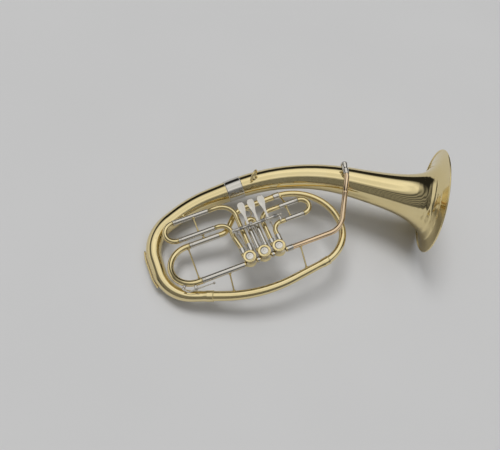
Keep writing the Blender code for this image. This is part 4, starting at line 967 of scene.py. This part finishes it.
def spring_steel():
    """Drawn wire: blue-grey steel with fine lines along it."""
    mat, spot, shader = start_material("spring_steel", 0.28, 1.0, 0.0)
    lines = spot.make("ShaderNodeTexNoise", Vector=spot, Scale=1500, Detail=2)
    tone = lines.blend((0.42, 0.42, 0.44, 1), (0.62, 0.62, 0.63, 1))
    bump = spot.make("ShaderNodeBump", Strength=0.1, Distance=0.0001, Height=lines)
    join_shader(shader, Base_Color=tone, Roughness=0.2 + 0.2 * lines, Normal=bump)
    return mat


FINISHES["spring_steel"] = spring_steel()


def spring(begin, axis, turns, radius, pitch, tails, wire_r, node, body):
    """Wire wound round an axis, with a straight tail at each end."""
    axis, across = Vector(axis), Vector((0, 1, 0))
    side = axis.cross(across)
    points = []
    for i in range(turns * TURN_STEPS + 1):
        a = 2 * math.pi * i / TURN_STEPS
        points.append(Vector(begin) + axis * (pitch * i / TURN_STEPS)
                      + (across * math.cos(a) + side * math.sin(a)) * radius)
    points = [points[0] + Vector(tails[0])] + points + [points[-1] + Vector(tails[1])]
    hand_over(pipe([(p, wire_r) for p in points], 0, 10), node, body, "spring_steel")


for number, begin_x in {1: 0.0450, 2: 0.0175, 3: -0.0285}.items():
    spring((begin_x, *HINGE.yz), (1, 0, 0), SPRING_TURNS, SPRING_R, SPRING_PITCH,
           ((0, 0, -0.0060), (0, 0, 0.0045)), SPRING_WIRE_R, f"lever_spring_{number}", "horn")


# Water key
# On the lowest point of the tuning slide's bow sits a nipple, closed by a cork in the cup
# of a small sprung lever. A saddle with two ears carries the lever's pivot.
KEY_PIVOT = Vector((-0.150, -0.0203, VALVE_Z))
KEY_ANGLE = math.radians(34)
KEY_END_X = -0.114
TUNING_BOW_X = -0.141
SADDLE_Y = -PORT - 0.0067


def cork_bark():
    """Cut cork: brown cells of uneven tone, dull and a little rough."""
    mat, spot, shader = start_material("cork", 0.85, 0.0, 0.0)
    cells = spot.make("ShaderNodeTexVoronoi", {"feature": "F1"}, Vector=spot, Scale=1400)
    tone = cells.blend((0.30, 0.17, 0.08, 1), (0.55, 0.38, 0.22, 1))
    bump = spot.make("ShaderNodeBump", Strength=0.5, Distance=0.0003, Height=cells)
    join_shader(shader, Base_Color=tone, Roughness=0.7 + 0.3 * cells, Normal=bump)
    return mat


FINISHES["cork"] = cork_bark()

low_leg, high_leg = Vector((0, -PORT, VALVE_Z)), Vector((0, TUNING_Y, TUNING_Z))
across = (high_leg - low_leg).normalized()
out = Vector((-1, 0, 0)) * math.sin(KEY_ANGLE) - across * math.cos(KEY_ANGLE)
seat = ((low_leg + high_leg) / 2 + Vector((TUNING_BOW_X, 0, 0))
        + out * ((high_leg - low_leg).length / 2 + 0.0067))
nipple = lathe([(0.0017, 0.0048), (0.0027, 0.0048), (0.0030, 0.0045), (0.0030, 0.0038),
                (0.0026, 0.0035), (0.0026, 0.0012), (0.0032, 0.0), (0.0036, -0.0006),
                (0.0017, -0.0006), (0.0017, 0.0048)], 40, seat, out)
hand_over(nipple, "key_nipple", "tuning_slide", "nickel_silver")

pad = seat + out * 0.0051
cork = lathe([(0.0026, 0.0), (0.0030, 0.0004), (0.0030, 0.0022)], 32, pad, out)
hand_over(cork, "", "water_key", "cork", "key_cork")
cup = lathe([(0.0031, 0.0010), (0.0036, 0.0010), (0.0037, 0.0016), (0.0034, 0.0028),
             (0.0020, 0.0036), (0.0010, 0.0038)], 40, pad, out)
drop = Vector((0, 0, -0.0015))
bend = Vector((pad.x + 0.007, KEY_PIVOT.y - 0.0012, KEY_PIVOT.z)) + drop
tip = Vector((KEY_END_X, KEY_PIVOT.y - 0.001, KEY_PIVOT.z)) + drop
points = route([pad + out * 0.0030, bend, KEY_PIVOT + drop, tip], [0.004, 0.010], 8)
total = marks_of(points)[-1]
arm = pipe(stations(points, [(0, 0.0015), (0.3 * total, 0.0013), (0.5 * total, 0.0014),
                             (total, 0.0010)]), 0, 20)
ball = fresh(bpy.ops.mesh.primitive_uv_sphere_add, segments=32, ring_count=20, radius=0.0026,
             location=tip)
barrel = lathe([(0.0011, -0.0036), (0.0019, -0.0036), (0.0021, -0.0034), (0.0021, 0.0044),
                (0.0019, 0.0046), (0.0011, 0.0046), (0.0011, -0.0036)], 32, KEY_PIVOT)
hand_over(fuse(cup, arm, ball, barrel), "key_lever", "water_key", "nickel_silver")

# The saddle's base, then its two ears, as places beside the pivot.
parts = [block((KEY_PIVOT.x - half, y0, KEY_PIVOT.z + z0),
               (KEY_PIVOT.x + half, y1, KEY_PIVOT.z + z1), 0.0004)
         for half, y0, y1, z0, z1 in
         ((0.003, SADDLE_Y - 0.0018, SADDLE_Y - 0.0001, -0.0052, 0.0062),
          (0.002, KEY_PIVOT.y - 0.002, SADDLE_Y - 0.001, -0.0052, -0.0040),
          (0.002, KEY_PIVOT.y - 0.002, SADDLE_Y - 0.001, 0.0050, 0.0062))]
parts.append(lathe([(0.0012, -0.0060), (0.0014, -0.0057), (0.0014, -0.0052), (0.0008, -0.0052),
                    (0.0008, 0.0066), (0.0006, 0.0068)], 24, KEY_PIVOT))
hand_over(fuse(*parts), "key_saddle", "tuning_slide", "nickel_silver")
spring(KEY_PIVOT + Vector((0, 0, 0.0007)), (0, 0, 1), 3, 0.0027, 0.00115,
       ((-0.0040, 0, 0), (0.0040, 0, 0)), 0.0003, "key_spring", "tuning_slide")


# Braces
# Turned brass rods with flared feet, soft-soldered between neighbouring tubes so that the
# horn keeps its shape.
FOOT_SINK = 0.0008
SHORT_BRACE = 0.016
KEY_BRACE_X = -0.1382
BOW_BEHIND_STEM = (0.44, 0.66)


def nearest(run, point):
    """Nearest place on a run: its centre and radius."""
    places = []
    for (a, ra), (b, rb) in zip(run, run[1:]):
        line = b - a
        t = min(1.0, max(0.0, (point - a).dot(line) / line.length_squared))
        places.append((a + line * t, ra + (rb - ra) * t))
    return min(places, key=lambda place: (point - place[0]).length)


def brace(node, one, two, spot, far_spot=None, body="horn"):
    """Turned rod between two runs of tube, with its feet let into both."""
    b, rb = nearest(two, Vector(far_spot or spot))
    a, ra = nearest(one, Vector(spot) if far_spot else b)
    if far_spot is None:
        b, rb = nearest(two, a)
    length = (b - a).length
    begin, end = ra - FOOT_SINK, length - rb + FOOT_SINK
    middle = (begin + end) / 2
    foot = [(0.0036, 0.0), (0.0036, 0.0012), (0.0030, 0.0017), (0.0021, 0.0026),
            (0.0017, 0.0034), (0.0021, 0.0038), (0.0021, 0.0044), (0.0016, 0.0048)]
    if end - begin < SHORT_BRACE:
        foot = foot[:5]
    profile = [(r, begin + z) for r, z in foot] + [(0.0017, middle)]
    profile += [(r, end - z) for r, z in reversed(foot)]
    hand_over(lathe(profile, 28, a, (b - a).normalized()), node, body, "brass")


bow_high, bow_low = (straight((TUNING_END, y, z), (TUNING_BOW_X, y, z), TUNING_BOW_R)
                     for y, z in ((TUNING_Y, TUNING_Z), (-PORT, VALVE_Z)))
lead_run = [(p, LEADPIPE_R) for p in lead]
brace("brace_slide_3", legs["slide_3_leg_high"], legs["slide_3_leg_low"],
      (-0.107, SLIDE_3_HIGH_Y, VALVE_Z))
brace("brace_tuning_leg", legs["slide_3_leg_low"], legs["tuning_leg_high"],
      (-0.101, SLIDE_3_LOW_Y, VALVE_Z))
brace("brace_tuning_bow", bow_high, bow_low, (KEY_BRACE_X, TUNING_Y, TUNING_Z),
      (KEY_BRACE_X, -PORT, VALVE_Z), "tuning_slide")
brace("brace_bottom_left", legs["tuning_leg_low"], oval(BOW_END, BOTTOM_END),
      (-0.078, -PORT, VALVE_Z), (-0.084, -0.053, 0))
brace("brace_bottom_right", lead_run, oval(BOW_END, LOOP_END), (0.073, -PORT, VALVE_Z),
      (0.068, -0.057, 0))
brace("brace_slide_1", legs["slide_1_leg_high"], legs["slide_1_leg_low"],
      (0.081, SLIDE_1_HIGH_Y, VALVE_Z))
brace("brace_branch", oval(BOTTOM_END, LOOP_END), legs["slide_1_leg_high"],
      (0.083, 0.127, 0), (0.083, SLIDE_1_HIGH_Y, VALVE_Z))
brace("brace_stem", oval(*BOW_BEHIND_STEM), legs["slide_3_leg_high"], (-0.123, 0.152, 0),
      (-0.123, SLIDE_3_HIGH_Y, VALVE_Z))


# Ring for the strap
# A ring of brass wire that takes the hook of the player's strap. It is brazed on a small
# turned foot, which is soldered on the stem.
RING_R, RING_WIRE_R = 0.0120, 0.0020
RING_AT = STEM_END - 0.046
RING_OUT = Vector((0, -0.15, 0.98))
RING_TURN = math.radians(-42)
point = point_at(OVAL, RING_AT)
way = (point_at(OVAL, RING_AT + 0.002) - point).normalized()
out = (RING_OUT - way * RING_OUT.dot(way)).normalized()
foot_at = point + out * (oval_radius(RING_AT) + GAP)
foot = lathe([(0.0046, -0.0010), (0.0046, 0.0004), (0.0040, 0.0010), (0.0026, 0.0016),
              (0.0024, 0.0026), (0.0018, 0.0034)], 32, foot_at, out)
ring = wire_ring(RING_R, RING_WIRE_R, foot_at + out * (0.0018 + RING_R),
                 Matrix.Rotation(RING_TURN, 3, out) @ way, 72, 20)
hand_over(fuse(ring, foot), "strap_ring", "horn", "brass")


# Floor and light
# A pale matt floor under one soft lamp, in a studio with a wide ceiling of faint slats, two
# pale side walls and darkness between them, which the metal mirrors. The camera itself, and
# metal that mirrors the horizon, see a plain backdrop as pale as the floor.
low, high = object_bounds()
floor = fresh(bpy.ops.mesh.primitive_plane_add, size=24, location=(0, 0, low.z - 0.0002))
floor.name = "floor"
mat, spot, shader = start_material("pale_floor", 0.9, 0.0, 0.0)
shade = spot.make("ShaderNodeTexNoise", Vector=spot, Scale=3, Detail=2)
join_shader(shader, Base_Color=shade.blend((0.60, 0.60, 0.60, 1), (0.63, 0.63, 0.63, 1)))
floor.data.materials.append(mat)
floor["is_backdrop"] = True

eye = camera.matrix_world.translation
far = -Vector((eye.x, eye.y, 0)).normalized()
bpy.ops.object.light_add(type='SUN', location=far * 0.7 + Vector((-0.6, 0.2, 1.7)))
lamp = bpy.context.object
lamp.name = "floor_lamp"
lamp.data.angle = math.radians(26)
lamp.data.energy = 1.5
lamp.visible_glossy = False
lamp.rotation_euler = (-lamp.location).to_track_quat('-Z', 'Y').to_euler()

world = bpy.context.scene.world or bpy.data.worlds.new("studio")
bpy.context.scene.world = world
world.use_nodes = True
tree = world.node_tree
way = Socket(tree, tree.nodes.new("ShaderNodeTexCoord").outputs["Generated"])


def towards(direction):
    """How nearly the view points in one direction, from -1 to 1."""
    return way.make("ShaderNodeVectorMath", {"operation": "DOT_PRODUCT"}, 1,
                    i0=way, i1=direction.normalized())


def fade(value, start, end):
    """Smooth step from 0 to 1 between two values."""
    return way.make("ShaderNodeMapRange", {"interpolation_type": "SMOOTHSTEP"}, Value=value,
                    From_Min=start, From_Max=end)


beside = far.cross(UP)
ceiling = fade(towards(UP) + towards(far) * 0.20, 0.68, 0.86)
fill = fade(towards(UP) - towards(far) * 0.50, 0.35, 0.80)
softbox = fade(towards(far * 0.50 - beside * 0.14 + UP * 0.85), 0.90, 0.98)
across = towards(beside)
walls = fade(across * across, 0.71, 0.90) * (1 - fade(towards(UP), 0.35, 0.60))
slats = way.make("ShaderNodeMath", {"operation": "SINE"}, i0=towards(UP) * 56)
glow = 0.02 + fill * (0.17 + 0.15 * slats) + ceiling * (0.66 - 0.08 * slats)
glow = glow + softbox * 0.18 + walls * 0.66
studio = tree.nodes["Background"]
studio.inputs["Strength"].default_value = 1.0
tree.links.new(glow.blend((0, 0, 0, 1), (1, 1, 1, 1)).link, studio.inputs["Color"])
backdrop = way.make("ShaderNodeBackground", Color=(0.52, 0.52, 0.52, 1))
seen = way.make("ShaderNodeLightPath", output="Is Camera Ray")
mirrored = way.make("ShaderNodeLightPath", output="Is Glossy Ray")
plain = seen + mirrored * (1 - fade(towards(UP), 0.02, 0.10))
both = way.make("ShaderNodeMixShader", Fac=plain, i1=Socket(tree, studio.outputs[0]),
                i2=backdrop)
tree.links.new(both.link, tree.nodes["World Output"].inputs["Surface"])
bpy.context.scene.view_settings.view_transform = 'Standard'

low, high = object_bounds()
